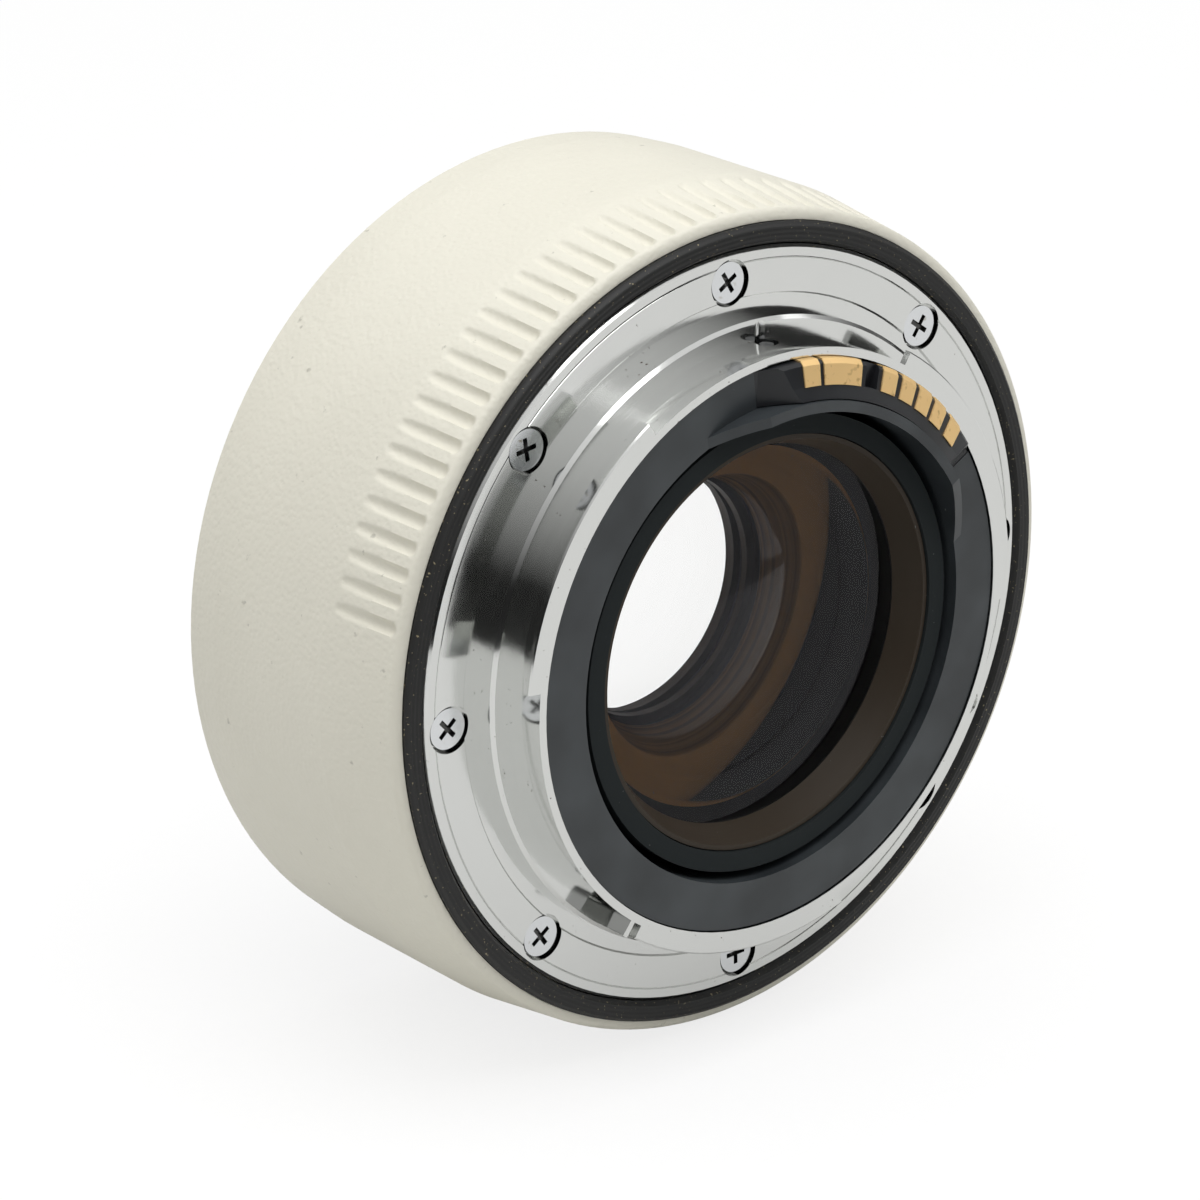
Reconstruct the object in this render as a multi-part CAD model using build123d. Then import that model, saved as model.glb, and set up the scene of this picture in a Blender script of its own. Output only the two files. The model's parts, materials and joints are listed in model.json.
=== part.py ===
"""Camera teleconverter: a short off-white barrel between a male bayonet and a female one.

Every piece is first built around the optical axis, with z = 0 on the rear seating face and z growing
towards the camera. The male bayonet is at the rear. Angles are counted as seen from the rear, from
the right and over the top. The finished pieces are then laid on their side, as the object lies on a
table: the camera side looks along -Y, the lens side along +Y, and +Z is up. All lengths are
millimetres.

Radii build up from the locating step of the bayonets, which the standard sets: inwards to the
contacts and the lens unit, outwards to the flange, the seal and the barrel.
"""

from build123d import *
import math
import os

os.makedirs("parts", exist_ok=True)

# Driving sizes of the whole object
flange_distance = 27.2
locating_radius = 27.0
overrun = 2.0
seat_gap = 0.05
running_gap = 0.06
bore_gap = 0.1

# Angles that several pieces share, in degrees
contact_angle = 63.0
lock_angle = contact_angle - 90.0
rear_index_angle = lock_angle - 30.0
front_index_angle = rear_index_angle - 60.0

# Rear bayonet ring, male
flange_reach = 5.5
flange_radius = locating_radius + flange_reach
flange_thickness = 1.6
flange_edge = 0.25
trace_inset = 1.05
trace_radius = flange_radius - trace_inset
trace_width = 0.16
trace_depth = 0.12
relief_width = 1.6
relief_radius = locating_radius + relief_width
relief_depth = 0.15
locating_height = 1.6
locating_edge = 0.3
bayonet_height = 5.43
tab_inset = 0.5
tab_radius = locating_radius - tab_inset
tab_reach = 1.2
neck_radius = tab_radius - tab_reach
neck_wall = 0.7
neck_bore = neck_radius - neck_wall
tab_thickness = 1.18
tab_edge = 0.12
tab_starts = (-5.0, 122.0, 234.5)
tab_ends = (57.5, 174.0, 287.0)
tab_ramp_span = 7.0
tab_ramp_rise = 0.55
mount_foot = 1.4
stop_pocket_start = 227.5
stop_pocket_end = 231.5
stop_post_end = 232.6
stop_pocket_floor = 0.2

# Screws that hold the rear bayonet ring
mount_screw_offset = 3.0
mount_screw_circle = locating_radius + mount_screw_offset
mount_screw_count = 8
mount_screw_first = 1.6
mount_screw_turns = (12, 8, 30, 52, 40, 78, 0, 63)
pocket_radius = 2.0
pocket_depth = 0.9
mount_screw_head_radius = 1.72
mount_screw_head_height = 0.62
mount_screw_shank_radius = 0.85
mount_screw_length = 3.9
recess_length = 2.0
recess_width = 0.42
recess_depth = 0.4
screw_taper_share = 0.35

# Slot in the rear flange for the lock pin of a camera
lock_slot_offset = 1.7
lock_slot_inset = 0.5
lock_slot_inner = locating_radius + lock_slot_offset
lock_slot_outer = flange_radius - lock_slot_inset
lock_slot_width = 2.6
lock_slot_depth = 1.2

# Rubber sealing ring
seal_gap = 0.1
seal_width = 1.8
seal_inner_radius = flange_radius + seal_gap
seal_outer_radius = seal_inner_radius + seal_width
seal_height = 0.25
seal_edge = 0.35
seal_pocket_gap = 0.05

# Outer barrel: a painted sleeve and a scooped grip ring at its rear end, which laps into the sleeve
barrel_rim = 2.0
barrel_radius = seal_outer_radius + barrel_rim
barrel_wall = 2.0
front_proud = 1.0
front_bevel_length = 3.5
front_bevel_drop = 0.25
grip_length = 8.5
grip_drop = 0.3
rear_face_depth = 0.35
rear_shoulder = 0.4
rear_lip_thickness = 1.6
rear_lip_gap = 0.2
rear_lip_radius = locating_radius + rear_lip_gap
scoop_count = 60
scoop_pitch = 3.5
scoop_cutter_radius = 0.65
scoop_depth_front = 0.25
scoop_depth_rear = 0.42
scoop_start = 1.2
lap_wall = 1.0
lap_length = 2.0
barrel_bore = barrel_radius - barrel_wall
lap_radius = barrel_bore + lap_wall
barrel_front = front_proud - flange_distance

# Rear baffle: the dark ring inside the male bayonet
baffle_radius = neck_bore - bore_gap
baffle_top = 5.25
baffle_plate = 1.2
baffle_skirt_wall = 1.1
baffle_inner_wall = 0.9
baffle_inner_depth = 1.0
lip_height = 2.15
lip_start = 12.0
lip_high_start = 31.0
lip_high_end = 98.0
lip_end = 112.0
pin_hole_radius = 1.0
neck_pin_radius = 0.6
neck_pin_angle = 87.8
neck_pin_height = 2.45
neck_pin_inset = 0.15
neck_pin_depth = 0.7
neck_pin_end = neck_bore - neck_pin_depth

# Rear contact block and its gold lands
rear_block_start = 29.4
rear_block_end = 96.8
rear_block_high_start = 35.5
rear_block_high_end = 88.0
rear_block_width = 3.0
rear_block_outer = baffle_radius - bore_gap
rear_block_inner = rear_block_outer - rear_block_width
baffle_bore = rear_block_inner - bore_gap - baffle_inner_wall
rear_block_shoulder = 5.2
land_outer_height = 6.0
land_fold = 0.25
crest_width = 1.1
land_inner_radius = rear_block_inner + crest_width
land_inner_height = 6.68
crest_height = 7.1
land_thickness = 0.12
land_skirt = 1.4
land_angles = (84.5, 76.0, 62.4, 56.5, 50.9, 45.4, 39.3)
land_spans = (4.3, 10.4, 4.3, 4.2, 4.2, 4.1, 4.0)
divider_angle = 67.6
divider_span = 3.6
divider_depth = 0.25
foot_reach = 3.8
foot_radius = rear_block_outer + foot_reach
foot_thickness = 1.15
foot_screw_offset = 2.3
foot_screw_circle = rear_block_outer + foot_screw_offset
foot_screw_angles = (43.0, 83.0)
small_head_radius = 1.0
small_head_height = 0.5
small_shank_radius = 0.6
small_screw_length = 2.1
small_recess_length = 1.2
small_recess_width = 0.28
small_recess_depth = 0.25

# Lens unit: a rear barrel screwed to the web and a front cell screwed into it
lens_tube_gap = 0.8
lens_tube_radius = baffle_bore - lens_tube_gap
lens_rear_end = 4.6
lens_spigot_step = 1.15
lens_spigot_radius = lens_tube_radius + lens_spigot_step
lens_spigot_length = 1.2
lens_flange_width = 3.25
lens_flange_radius = lens_spigot_radius + lens_flange_width
lens_flange_thickness = 1.5
nose_edge = 0.8
front_face = -flange_distance

# Glass, from the rear: a negative, a weak positive, a cemented pair and a front positive
retainer_wall = 1.8
retainer_radius = lens_tube_radius - retainer_wall
retainer_top_drop = 0.25
retainer_mouth_width = 0.4
retainer_mouth = retainer_radius - retainer_mouth_width
rear_glass_inset = 0.9
rear_glass_radius = retainer_radius - rear_glass_inset
rear_glass_edge = 5.2
rear_glass_front_curve = 47.0
rear_glass_rear_curve = 1000.0
rear_glass_top = 1.7
retainer_overlap = 0.6
retainer_throat = rear_glass_radius - retainer_overlap
rear_seat_width = 1.3
rear_stop_radius = rear_glass_radius - rear_seat_width
inner_glass_inset = 0.8
inner_glass_radius = rear_stop_radius - inner_glass_inset
inner_glass_edge = 5.6
inner_glass_front_curve = 600.0
inner_glass_rear_curve = 140.0
inner_glass_lift = 2.05
inner_spacer_length = 1.35
seat_width = 1.4
pair_step = 1.0
pair_radius = inner_glass_radius + pair_step
pair_front_curve = 2000.0
pair_inner_curve = 60.0
pair_rear_curve = 120.0
pair_flint_edge = 4.1
pair_crown_edge = 4.85
outer_spacer_length = 2.3
front_glass_step = 1.6
front_glass_radius = pair_radius + front_glass_step
front_glass_edge = 2.2
front_glass_curve = 74.0
front_glass_back_curve = 96.0
front_retainer_overlap = 1.2
front_retainer_bore = front_glass_radius - front_retainer_overlap
front_retainer_inset = 0.7
front_retainer_length = 3.7
nose_wall = 1.6
nose_radius = front_glass_radius + nose_wall
cell_spigot_wall = 1.7
cell_spigot_radius = inner_glass_radius + bore_gap + cell_spigot_wall
cell_spigot_length = 2.5

# Rear frame: a ring under the bayonet, a tube and the web that carries the lens unit
frame_rear_thickness = 2.0
frame_rear_overlap = 1.6
frame_rear_bore = rear_block_inner + frame_rear_overlap
frame_wall = 2.0
web_rear_depth = 14.6
web_thickness = 2.0
web_bore = lens_spigot_radius + bore_gap
frame_gap = 0.1
frame_radius = barrel_bore - frame_gap
frame_bore = frame_radius - frame_wall
frame_top = -(flange_thickness + rear_lip_thickness + seat_gap)
frame_rear_floor = frame_top - frame_rear_thickness
web_front = -(web_rear_depth + web_thickness)
lens_flange_seat = -web_rear_depth + seat_gap
cell_seat = web_front - lens_spigot_length

# Front frame: a tube and the ring that carries the front bayonet, screwed to the web
front_ring_depth = 2.0
rim_wall = 0.8
frame_ear_radius = 1.5
frame_ear_height = 2.6
frame_ear_circle = frame_bore - frame_ear_radius
frame_ear_angles = (75.0, 195.0, 315.0)
frame_screw_length = 3.6

# Front bayonet ring, female
front_mount_radius = frame_radius - rim_wall - frame_gap
front_mount_thickness = 2.0
front_mount_edge = 0.3
front_throat_radius = locating_radius + bore_gap
lug_gap = 0.2
lug_radius = neck_radius + lug_gap
lug_front_depth = 1.7
lug_rear_depth = 3.8
hub_wall = 1.5
hub_radius = front_throat_radius + hub_wall
hub_gap = 0.15
front_ring_bore = hub_radius + hub_gap
lug_starts = (-1.0, 115.5, 228.5)
lug_ends = (60.5, 171.5, 293.5)
front_screw_offset = 1.8
front_screw_circle = hub_radius + front_screw_offset
front_screw_angles = (18.0, 108.0, 198.0, 288.0)
front_screw_head_radius = 1.8
front_screw_head_height = 0.8
front_screw_shank_radius = 0.85
front_screw_length = 2.6
front_screw_turns = (9, 54, 99, 144)
front_screw_inset = 0.1
front_mount_back = front_face + front_mount_thickness
lug_back = front_face + lug_rear_depth

# Leaf springs behind the three lugs, with their rivets and the stop pin
leaf_inset = 0.25
leaf_width = 1.2
leaf_inner_radius = lug_radius + leaf_inset
leaf_outer_radius = leaf_inner_radius + leaf_width
leaf_thickness = 0.25
leaf_end_angle = 7.0
rivet_radius = 0.4
rivet_head_radius = 0.55
rivet_head = 0.15
rivet_depth = 1.0
rivet_end_angle = 10.0
stop_pin_angle = 58.9
stop_pin_offset = 0.75
stop_pin_circle = lug_radius + stop_pin_offset
stop_pin_radius = 0.6
stop_pin_length = 2.8
stop_pin_depth = 1.2

# Front contact block with its sprung pins
front_block_start = 13.0
front_block_end = 96.5
front_block_offset = 0.35
front_block_inner = web_bore + front_block_offset
contact_inner_wall = 2.1
contact_outer_wall = 1.9
contact_circle = front_block_inner + contact_inner_wall
front_block_outer = contact_circle + contact_outer_wall
front_block_height = 3.45
front_flex_thickness = 0.15
contact_pin_angles = (84.5, 78.2, 73.8, 62.4, 56.5, 50.9, 45.4, 39.3)
extension_pin_angles = (33.5, 27.8, 22.1)
contact_pin_radius = 0.45
contact_collar_radius = 0.62
contact_collar_length = 0.4
contact_tail_radius = 0.22
contact_tail_gap = 0.2
contact_free_length = 1.7
contact_travel = 1.1
contact_bush_length = 0.6
contact_tip_edge = 0.2
spring_wire_radius = 0.06
spring_coil_radius = 0.44
spring_turns = 4
front_block_screw_angles = (16.6, 92.6)

# Circuit board with its parts and flexes
board_offset = 4.15
board_rim_gap = 0.9
board_inner = web_bore + board_offset
board_outer = frame_bore - board_rim_gap
board_start = 20.0
board_end = 200.0
board_thickness = 0.8
boss_height = 2.2
boss_radius = 1.6
boss_inset = 1.8
boss_circle = board_outer - boss_inset
boss_angles = (35.0, 110.0, 185.0)
chip_offset = 3.0
chip_circle = board_inner + chip_offset
chip_sizes = ((4.6, 4.6, 0.9), (2.6, 3.4, 0.7), (2.0, 2.0, 0.6), (3.0, 1.6, 0.8))
chip_angles = (92.0, 128.0, 148.0, 166.0)
flex_thickness = 0.15
flex_width = 8.0
rear_flex_offset = 2.6
rear_flex_circle = rear_block_outer + rear_flex_offset
front_flex_offset = 1.7
front_flex_circle = front_block_outer + front_flex_offset
front_flex_width = 4.4
flex_slot_gap = 0.3

# Lens lock: pin, spring and the lever that draws the pin back
lock_offset = 1.6
lock_circle = hub_radius + lock_offset
lock_pin_radius = 1.2
lock_pin_proud = 1.9
lock_travel = 2.3
lock_collar_radius = 1.8
lock_front_collar = 0.25
lock_rear_collar = 0.45
lock_tail_radius = 0.9
lock_tail_gap = 0.28
lock_play = 0.1
lever_plate = 1.0
lever_stem_width = 3.2
lever_eye_width = 4.8
lever_eye_inset = 1.45
lever_eye_reach = 1.8
lever_eye_inner = lock_circle - lever_eye_inset
lever_eye_outer = lock_circle + lever_eye_reach
lever_slot_gap = 0.2
knob_gap = 0.15
knob_height = 1.75
knob_span = 13.0
knob_front_reach = 2.6
knob_rear_reach = 2.7
knob_edge = 0.5
knob_groove_radius = 0.45
knob_groove_depth = 0.25
knob_groove_pitch = 1.5
knob_groove_count = 3
lock_spring_wire_radius = 0.16
lock_spring_coil_radius = 1.35
lock_spring_turns = 4

# Index marks
index_radius = 1.2
index_depth = 0.9
index_proud = 0.25
front_index_radius = 1.0
front_index_depth = 0.6
front_index_offset = 3.0
front_index_circle = hub_radius + front_index_offset
rear_index_place = 4.2


def point(radius, angle, z=0.0):
    """Point at a radius and angle around the axis."""
    turn = math.radians(angle)
    return (radius * math.cos(turn), radius * math.sin(turn), z)


def at(radius, angle, z=0.0):
    """Place at a radius and angle, with its own x pointing away from the axis."""
    return Location(point(radius, angle, z), (0, 0, angle))


def across(z, angle):
    """Place on the axis at a height, with its own x pointing away from the axis at an angle."""
    return Location((0, 0, z), (0, 0, angle))


def turned(*outline):
    """Ring or disc turned from an outline of (radius, z) corners."""
    corners = [(radius, 0, z) for radius, z in outline]
    return revolve(make_face(Polyline(*corners, close=True)), axis=Axis.Z)


def part_turned(start, end, *outline):
    """Stretch of a ring between two angles, turned from an outline of (radius, z) corners."""
    corners = [(radius, 0, z) for radius, z in outline]
    face = make_face(Polyline(*corners, close=True))
    return Rot(0, 0, start) * revolve(face, axis=Axis.Z, revolution_arc=end - start)


def ring(inner, outer, low, high):
    """Plain ring between two heights."""
    return turned((inner, low), (outer, low), (outer, high), (inner, high))


def sector(inner, outer, start, end, low, high):
    """Stretch of a plain ring between two angles and two heights."""
    return part_turned(start, end, (inner, low), (outer, low), (outer, high), (inner, high))


def rod(radius, low, high):
    """Upright round bar between two heights."""
    return Pos(0, 0, low) * Cylinder(radius, high - low, align=(Align.CENTER, Align.CENTER, Align.MIN))


def block(length, width, low, high):
    """Upright block, length along x and width along y, between two heights."""
    return Pos(0, 0, low) * Box(length, width, high - low, align=(Align.CENTER, Align.CENTER, Align.MIN))


def ramp_cutter(inner, outer, high_angle, low_angle, base, rise):
    """Wedge that slopes a raised stretch from its full height at one angle to its base at another."""
    run = inner * math.sin(math.radians(low_angle - high_angle))
    beyond = run + math.copysign(overrun, run)
    corners = [(0, base + rise), (run, base), (beyond, base), (beyond, base + rise + overrun),
               (0, base + rise + overrun)]
    profile = make_face(Polyline(*[(0, side, height) for side, height in corners], close=True))
    wedge = extrude(profile, outer - inner + 2 * overrun, dir=(1, 0, 0))
    return Location(point(inner - overrun, high_angle), (0, 0, high_angle)) * wedge


def sag(curve, radius):
    """Depth of a spherical surface at a radius."""
    return curve - math.sqrt(curve * curve - radius * radius)


def dome(face, direction):
    """Curve of a glass face from the axis out to its clear radius, and its two end heights."""
    edge, bulge, curve, clear = face
    rise = direction * bulge * sag(curve, clear)
    half = rise - direction * bulge * sag(curve, clear / 2)
    return ThreePointArc((0, 0, edge + rise), (clear / 2, 0, edge + half), (clear, 0, edge)), edge + rise


def lens(radius, front, rear):
    """Glass between two spherical faces with flat ground rims.

    A face is its rim's height, its bulge (1 swells outwards, -1 is hollow), its curve and clear radius.
    """
    front_arc, front_top = dome(front, -1)
    rear_arc, rear_top = dome(rear, 1)
    lines = [front_arc, rear_arc, Line((0, 0, front_top), (0, 0, rear_top)),
             Line((radius, 0, front[0]), (radius, 0, rear[0]))]
    for edge, _, _, clear in (front, rear):
        if clear < radius:
            lines.append(Line((clear, 0, edge), (radius, 0, edge)))
    return revolve(make_face(lines), axis=Axis.Z)


def cross_recess(length, width, depth, top):
    """Cutter for a cross recess sunk from the top of a screw head."""
    blade = block(length, width, top - depth, top + overrun)
    return blade + Rot(0, 0, 90) * blade


def screw(head_radius, head_height, shank_radius, length, recess):
    """Flat-headed screw with its shank pointing forwards and the underside of its head at zero."""
    taper = screw_taper_share * (head_radius - shank_radius)
    body = turned((0, head_height), (head_radius, head_height), (head_radius, head_height / 2),
                  (head_radius - taper, 0), (shank_radius, 0), (shank_radius, -length), (0, -length))
    return body - cross_recess(*recess, head_height)


def seated(one, seat, upwards=False):
    """Screw with its head on a seat, driven forwards or, if upwards, rearwards."""
    return Pos(0, 0, seat) * (Rot(180, 0, 0) * one if upwards else one)


def coil(coil_radius, wire_radius, turns, low, high):
    """Compression spring between two heights, one unbroken wire."""
    rise = high - low - 2 * wire_radius
    path = Helix(pitch=rise / turns, height=rise, radius=coil_radius)
    start = Plane(origin=path @ 0, z_dir=path % 0)
    wire = sweep(start * Circle(wire_radius), path=path, is_frenet=True)
    clear = rise / turns - 2 * wire_radius
    print("spring", turns, "turns, least gap between turns", round(clear, 3), "mm")
    return Pos(0, 0, low + wire_radius) * wire


def save(name, *solids):
    """Lay the finished solids on their side and write them as one node."""
    laid = [Rot(90, 0, 0) * solid for solid in solids]
    shape = laid[0] if len(laid) == 1 else Compound(children=laid)
    export_step(shape, f"parts/{name}.step")


def mount_screw_angles():
    """Angles of the eight rear screws."""
    return [mount_screw_first + 360 / mount_screw_count * number for number in range(mount_screw_count)]


def scoop():
    """Cutter of one grip scoop at angle zero, deeper towards the rear."""
    grip_rear_radius = barrel_radius - grip_drop
    front = (barrel_radius + scoop_cutter_radius - scoop_depth_front, 0, -grip_length + scoop_start)
    rear = (grip_rear_radius + scoop_cutter_radius - scoop_depth_rear, 0, overrun)
    path = Vector(*rear) - Vector(*front)
    bar = Plane(origin=front, z_dir=path) * extrude(Circle(scoop_cutter_radius), path.length)
    return bar + Pos(*front) * Sphere(scoop_cutter_radius)


def grip_ring():
    """Off-white grip ring behind the barrel, with the scoops, the screw holes and the lap."""
    grip_rear_radius = barrel_radius - grip_drop
    body = turned(
        (rear_lip_radius, -flange_thickness),
        (seal_outer_radius + seal_pocket_gap, -flange_thickness),
        (seal_outer_radius + seal_pocket_gap, -rear_face_depth),
        (grip_rear_radius - rear_shoulder, -rear_face_depth),
        (grip_rear_radius, -rear_face_depth - rear_shoulder),
        (barrel_radius, -grip_length),
        (lap_radius, -grip_length),
        (lap_radius, -grip_length - lap_length),
        (barrel_bore, -grip_length - lap_length),
        (barrel_bore, -flange_thickness - rear_lip_thickness),
        (rear_lip_radius, -flange_thickness - rear_lip_thickness),
    )
    cutter = scoop()
    middle = (scoop_count - 1) / 2
    angles = [contact_angle + scoop_pitch * (number - middle) for number in range(scoop_count)]
    body -= [Rot(0, 0, angle) * cutter for angle in angles]
    hole = rod(mount_screw_shank_radius + running_gap, -flange_thickness - rear_lip_thickness - overrun, 0)
    body -= [at(mount_screw_circle, angle) * hole for angle in mount_screw_angles()]
    return body


def outer_barrel():
    """Off-white sleeve over the grip ring's lap, with the lever slot and the index hole."""
    body = turned(
        (lap_radius, -grip_length),
        (barrel_radius, -grip_length),
        (barrel_radius, barrel_front + front_bevel_length),
        (barrel_radius - front_bevel_drop, barrel_front),
        (barrel_bore, barrel_front),
        (barrel_bore, -grip_length - lap_length),
        (lap_radius, -grip_length - lap_length),
    )
    body -= lever_slot(barrel_bore - overrun, barrel_radius + overrun)
    body -= rear_index_tool(index_depth, overrun)
    return body


def lever_slot(inner, outer):
    """Cutter for the slot in which the lever's stem travels."""
    low = fork_low() - lever_slot_gap
    high = fork_low() + lever_plate + lock_travel + lever_slot_gap
    width = lever_stem_width + 2 * lever_slot_gap
    return at((inner + outer) / 2, lock_angle) * block(outer - inner, width, low, high)


def fork_low():
    """Front face of the lever's plate at rest."""
    return front_ring_back() + lock_play + lock_front_collar + running_gap


def front_ring_back():
    """Rear face of the frame's front ring."""
    return front_mount_back + front_ring_depth


def rear_index_tool(depth, proud):
    """Round plug for the index mark, pointing away from the axis."""
    plug = Rot(0, 90, 0) * rod(index_radius, barrel_radius - depth, barrel_radius + proud)
    return across(-grip_length - rear_index_place, rear_index_angle) * plug


def rear_mount():
    """Chrome male bayonet ring."""
    tab_floor = bayonet_height - tab_thickness
    body = turned(
        (neck_bore, -flange_thickness - mount_foot),
        (rear_lip_radius - frame_gap, -flange_thickness - mount_foot),
        (rear_lip_radius - frame_gap, -flange_thickness),
        (flange_radius, -flange_thickness),
        (flange_radius, -flange_edge),
        (flange_radius - flange_edge, 0),
        (trace_radius + trace_width / 2, 0),
        (trace_radius, -trace_depth),
        (trace_radius - trace_width / 2, 0),
        (relief_radius, 0),
        (relief_radius - relief_depth, -relief_depth),
        (locating_radius, -relief_depth),
        (locating_radius, locating_height - locating_edge),
        (locating_radius - locating_edge, locating_height),
        (neck_radius, locating_height),
        (neck_radius, bayonet_height),
        (neck_bore, bayonet_height),
    )
    for start, end in zip(tab_starts, tab_ends):
        tab = part_turned(start, end, (neck_radius - tab_edge, tab_floor), (tab_radius, tab_floor),
                          (tab_radius, bayonet_height - tab_edge), (tab_radius - tab_edge, bayonet_height),
                          (neck_radius - tab_edge, bayonet_height))
        ramp = ramp_cutter(neck_radius, tab_radius, end - tab_ramp_span, end, -tab_floor - tab_ramp_rise,
                           tab_ramp_rise)
        tab -= ramp.mirror(Plane.XY)
        body += tab
    body -= sector(neck_radius, locating_radius - locating_edge, stop_pocket_start, stop_pocket_end,
                   -stop_pocket_floor, locating_height + overrun)
    body += sector(neck_radius - tab_edge, locating_radius - locating_edge, stop_pocket_end, stop_post_end,
                   locating_height - locating_edge, bayonet_height)
    pocket = rod(pocket_radius, -pocket_depth, overrun)
    hole = rod(mount_screw_shank_radius + running_gap, -flange_thickness - overrun, 0)
    for angle in mount_screw_angles():
        body -= at(mount_screw_circle, angle) * pocket
        body -= at(mount_screw_circle, angle) * hole
    slot_middle = (lock_slot_inner + lock_slot_outer) / 2
    slot_reach = (lock_slot_outer - lock_slot_inner - lock_slot_width) / 2
    slot = block(2 * slot_reach, lock_slot_width, -lock_slot_depth, overrun)
    for side in (-slot_reach, slot_reach):
        slot += Pos(side, 0, 0) * rod(lock_slot_width / 2, -lock_slot_depth, overrun)
    body -= at(slot_middle, lock_angle) * slot
    drilling = Rot(0, 90, 0) * rod(pin_hole_radius, neck_bore - overrun, locating_radius + overrun)
    body -= across(neck_pin_height, neck_pin_angle) * drilling
    return body


def rear_mount_screws():
    """Eight flat cross-head screws in their pockets."""
    one = screw(mount_screw_head_radius, mount_screw_head_height, mount_screw_shank_radius,
                mount_screw_length, (recess_length, recess_width, recess_depth))
    one = seated(one, -pocket_depth)
    return [at(mount_screw_circle, angle) * Rot(0, 0, turn) * one
            for angle, turn in zip(mount_screw_angles(), mount_screw_turns)]


def seal_ring():
    """Rubber ring between the flange and the barrel."""
    return turned(
        (seal_inner_radius, -flange_thickness),
        (seal_outer_radius, -flange_thickness),
        (seal_outer_radius, seal_height - seal_edge),
        (seal_outer_radius - seal_edge, seal_height),
        (seal_inner_radius + seal_edge, seal_height),
        (seal_inner_radius, -flange_edge),
    )


def inner_frame():
    """Black rear frame: the ring under the bayonet, a tube and the web that carries the lens unit."""
    body = turned(
        (frame_rear_bore, frame_top),
        (frame_radius, frame_top),
        (frame_radius, web_front),
        (web_bore, web_front),
        (web_bore, -web_rear_depth),
        (frame_bore, -web_rear_depth),
        (frame_bore, frame_rear_floor),
        (frame_rear_bore, frame_rear_floor),
    )
    boss = rod(boss_radius, -web_rear_depth - seat_gap, board_top() - board_thickness)
    body += [at(boss_circle, angle) * boss for angle in boss_angles]
    body -= sector(frame_rear_bore - overrun, rear_block_outer + frame_gap, rear_block_start - frame_gap,
                   rear_block_end + frame_gap, frame_rear_floor - overrun, frame_top + overrun)
    deep = -pocket_depth - mount_screw_length - seat_gap
    hole = rod(mount_screw_shank_radius + seat_gap, deep, frame_top + overrun)
    body -= [at(mount_screw_circle, angle) * hole for angle in mount_screw_angles()]
    fit = small_shank_radius + seat_gap
    hole = rod(fit, web_front - overrun, overrun - web_rear_depth)
    body -= [at(frame_ear_circle, angle) * hole for angle in frame_ear_angles]
    hole = rod(fit, frame_rear_floor - overrun, foot_screw_tip() + seat_gap)
    body -= [at(foot_screw_circle, angle) * hole for angle in foot_screw_angles]
    hole = rod(fit, board_screw_tip() - seat_gap, 0)
    body -= [at(boss_circle, angle) * hole for angle in boss_angles]
    hole = rod(fit, web_front - overrun, web_front + web_thickness / 2)
    body -= [at(contact_circle, angle) * hole for angle in front_block_screw_angles]
    hole = rod(fit, lens_screw_tip() - seat_gap, 0)
    body -= [at(lens_screw_circle(), angle) * hole for angle in lens_screw_angles()]
    slot = block(flex_thickness + 2 * flex_slot_gap, front_flex_width + 2 * flex_slot_gap,
                 web_front - overrun, overrun - web_rear_depth)
    body -= at(front_flex_circle + flex_thickness / 2, contact_angle) * slot
    return body


def front_frame():
    """Black front frame: a tube with ears under the web and the ring that carries the front bayonet."""
    top = web_front - seat_gap
    body = turned(
        (frame_bore, top),
        (frame_radius, top),
        (frame_radius, barrel_front + seat_gap),
        (frame_radius - rim_wall, barrel_front + seat_gap),
        (frame_radius - rim_wall, front_mount_back + seat_gap),
        (front_ring_bore, front_mount_back + seat_gap),
        (front_ring_bore, front_ring_back()),
        (frame_bore, front_ring_back()),
    )
    ear = rod(frame_ear_radius, top - frame_ear_height, top)
    ear += Pos(frame_ear_radius / 2 + frame_wall / 4, 0, 0) * block(
        frame_ear_radius + frame_wall / 2, 2 * frame_ear_radius, top - frame_ear_height, top)
    body += [at(frame_ear_circle, angle) * ear for angle in frame_ear_angles]
    hole = rod(small_shank_radius + seat_gap, top - frame_ear_height - overrun, top + overrun)
    body -= [at(frame_ear_circle, angle) * hole for angle in frame_ear_angles]
    hole = rod(front_screw_shank_radius + seat_gap, front_mount_back - overrun, front_ring_back() + overrun)
    body -= [at(front_screw_circle, angle) * hole for angle in front_screw_angles]
    body -= lever_slot(frame_bore - overrun, frame_radius + overrun)
    pin_hole = rod(lock_pin_radius + running_gap, front_mount_back - overrun, front_ring_back() + overrun)
    body -= at(lock_circle, lock_angle) * pin_hole
    return body


def frame_screws():
    """Three screws that hold the front frame to the web."""
    one = small_screw_at(-web_rear_depth, length=frame_screw_length)
    return [at(frame_ear_circle, angle) * one for angle in frame_ear_angles]


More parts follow.
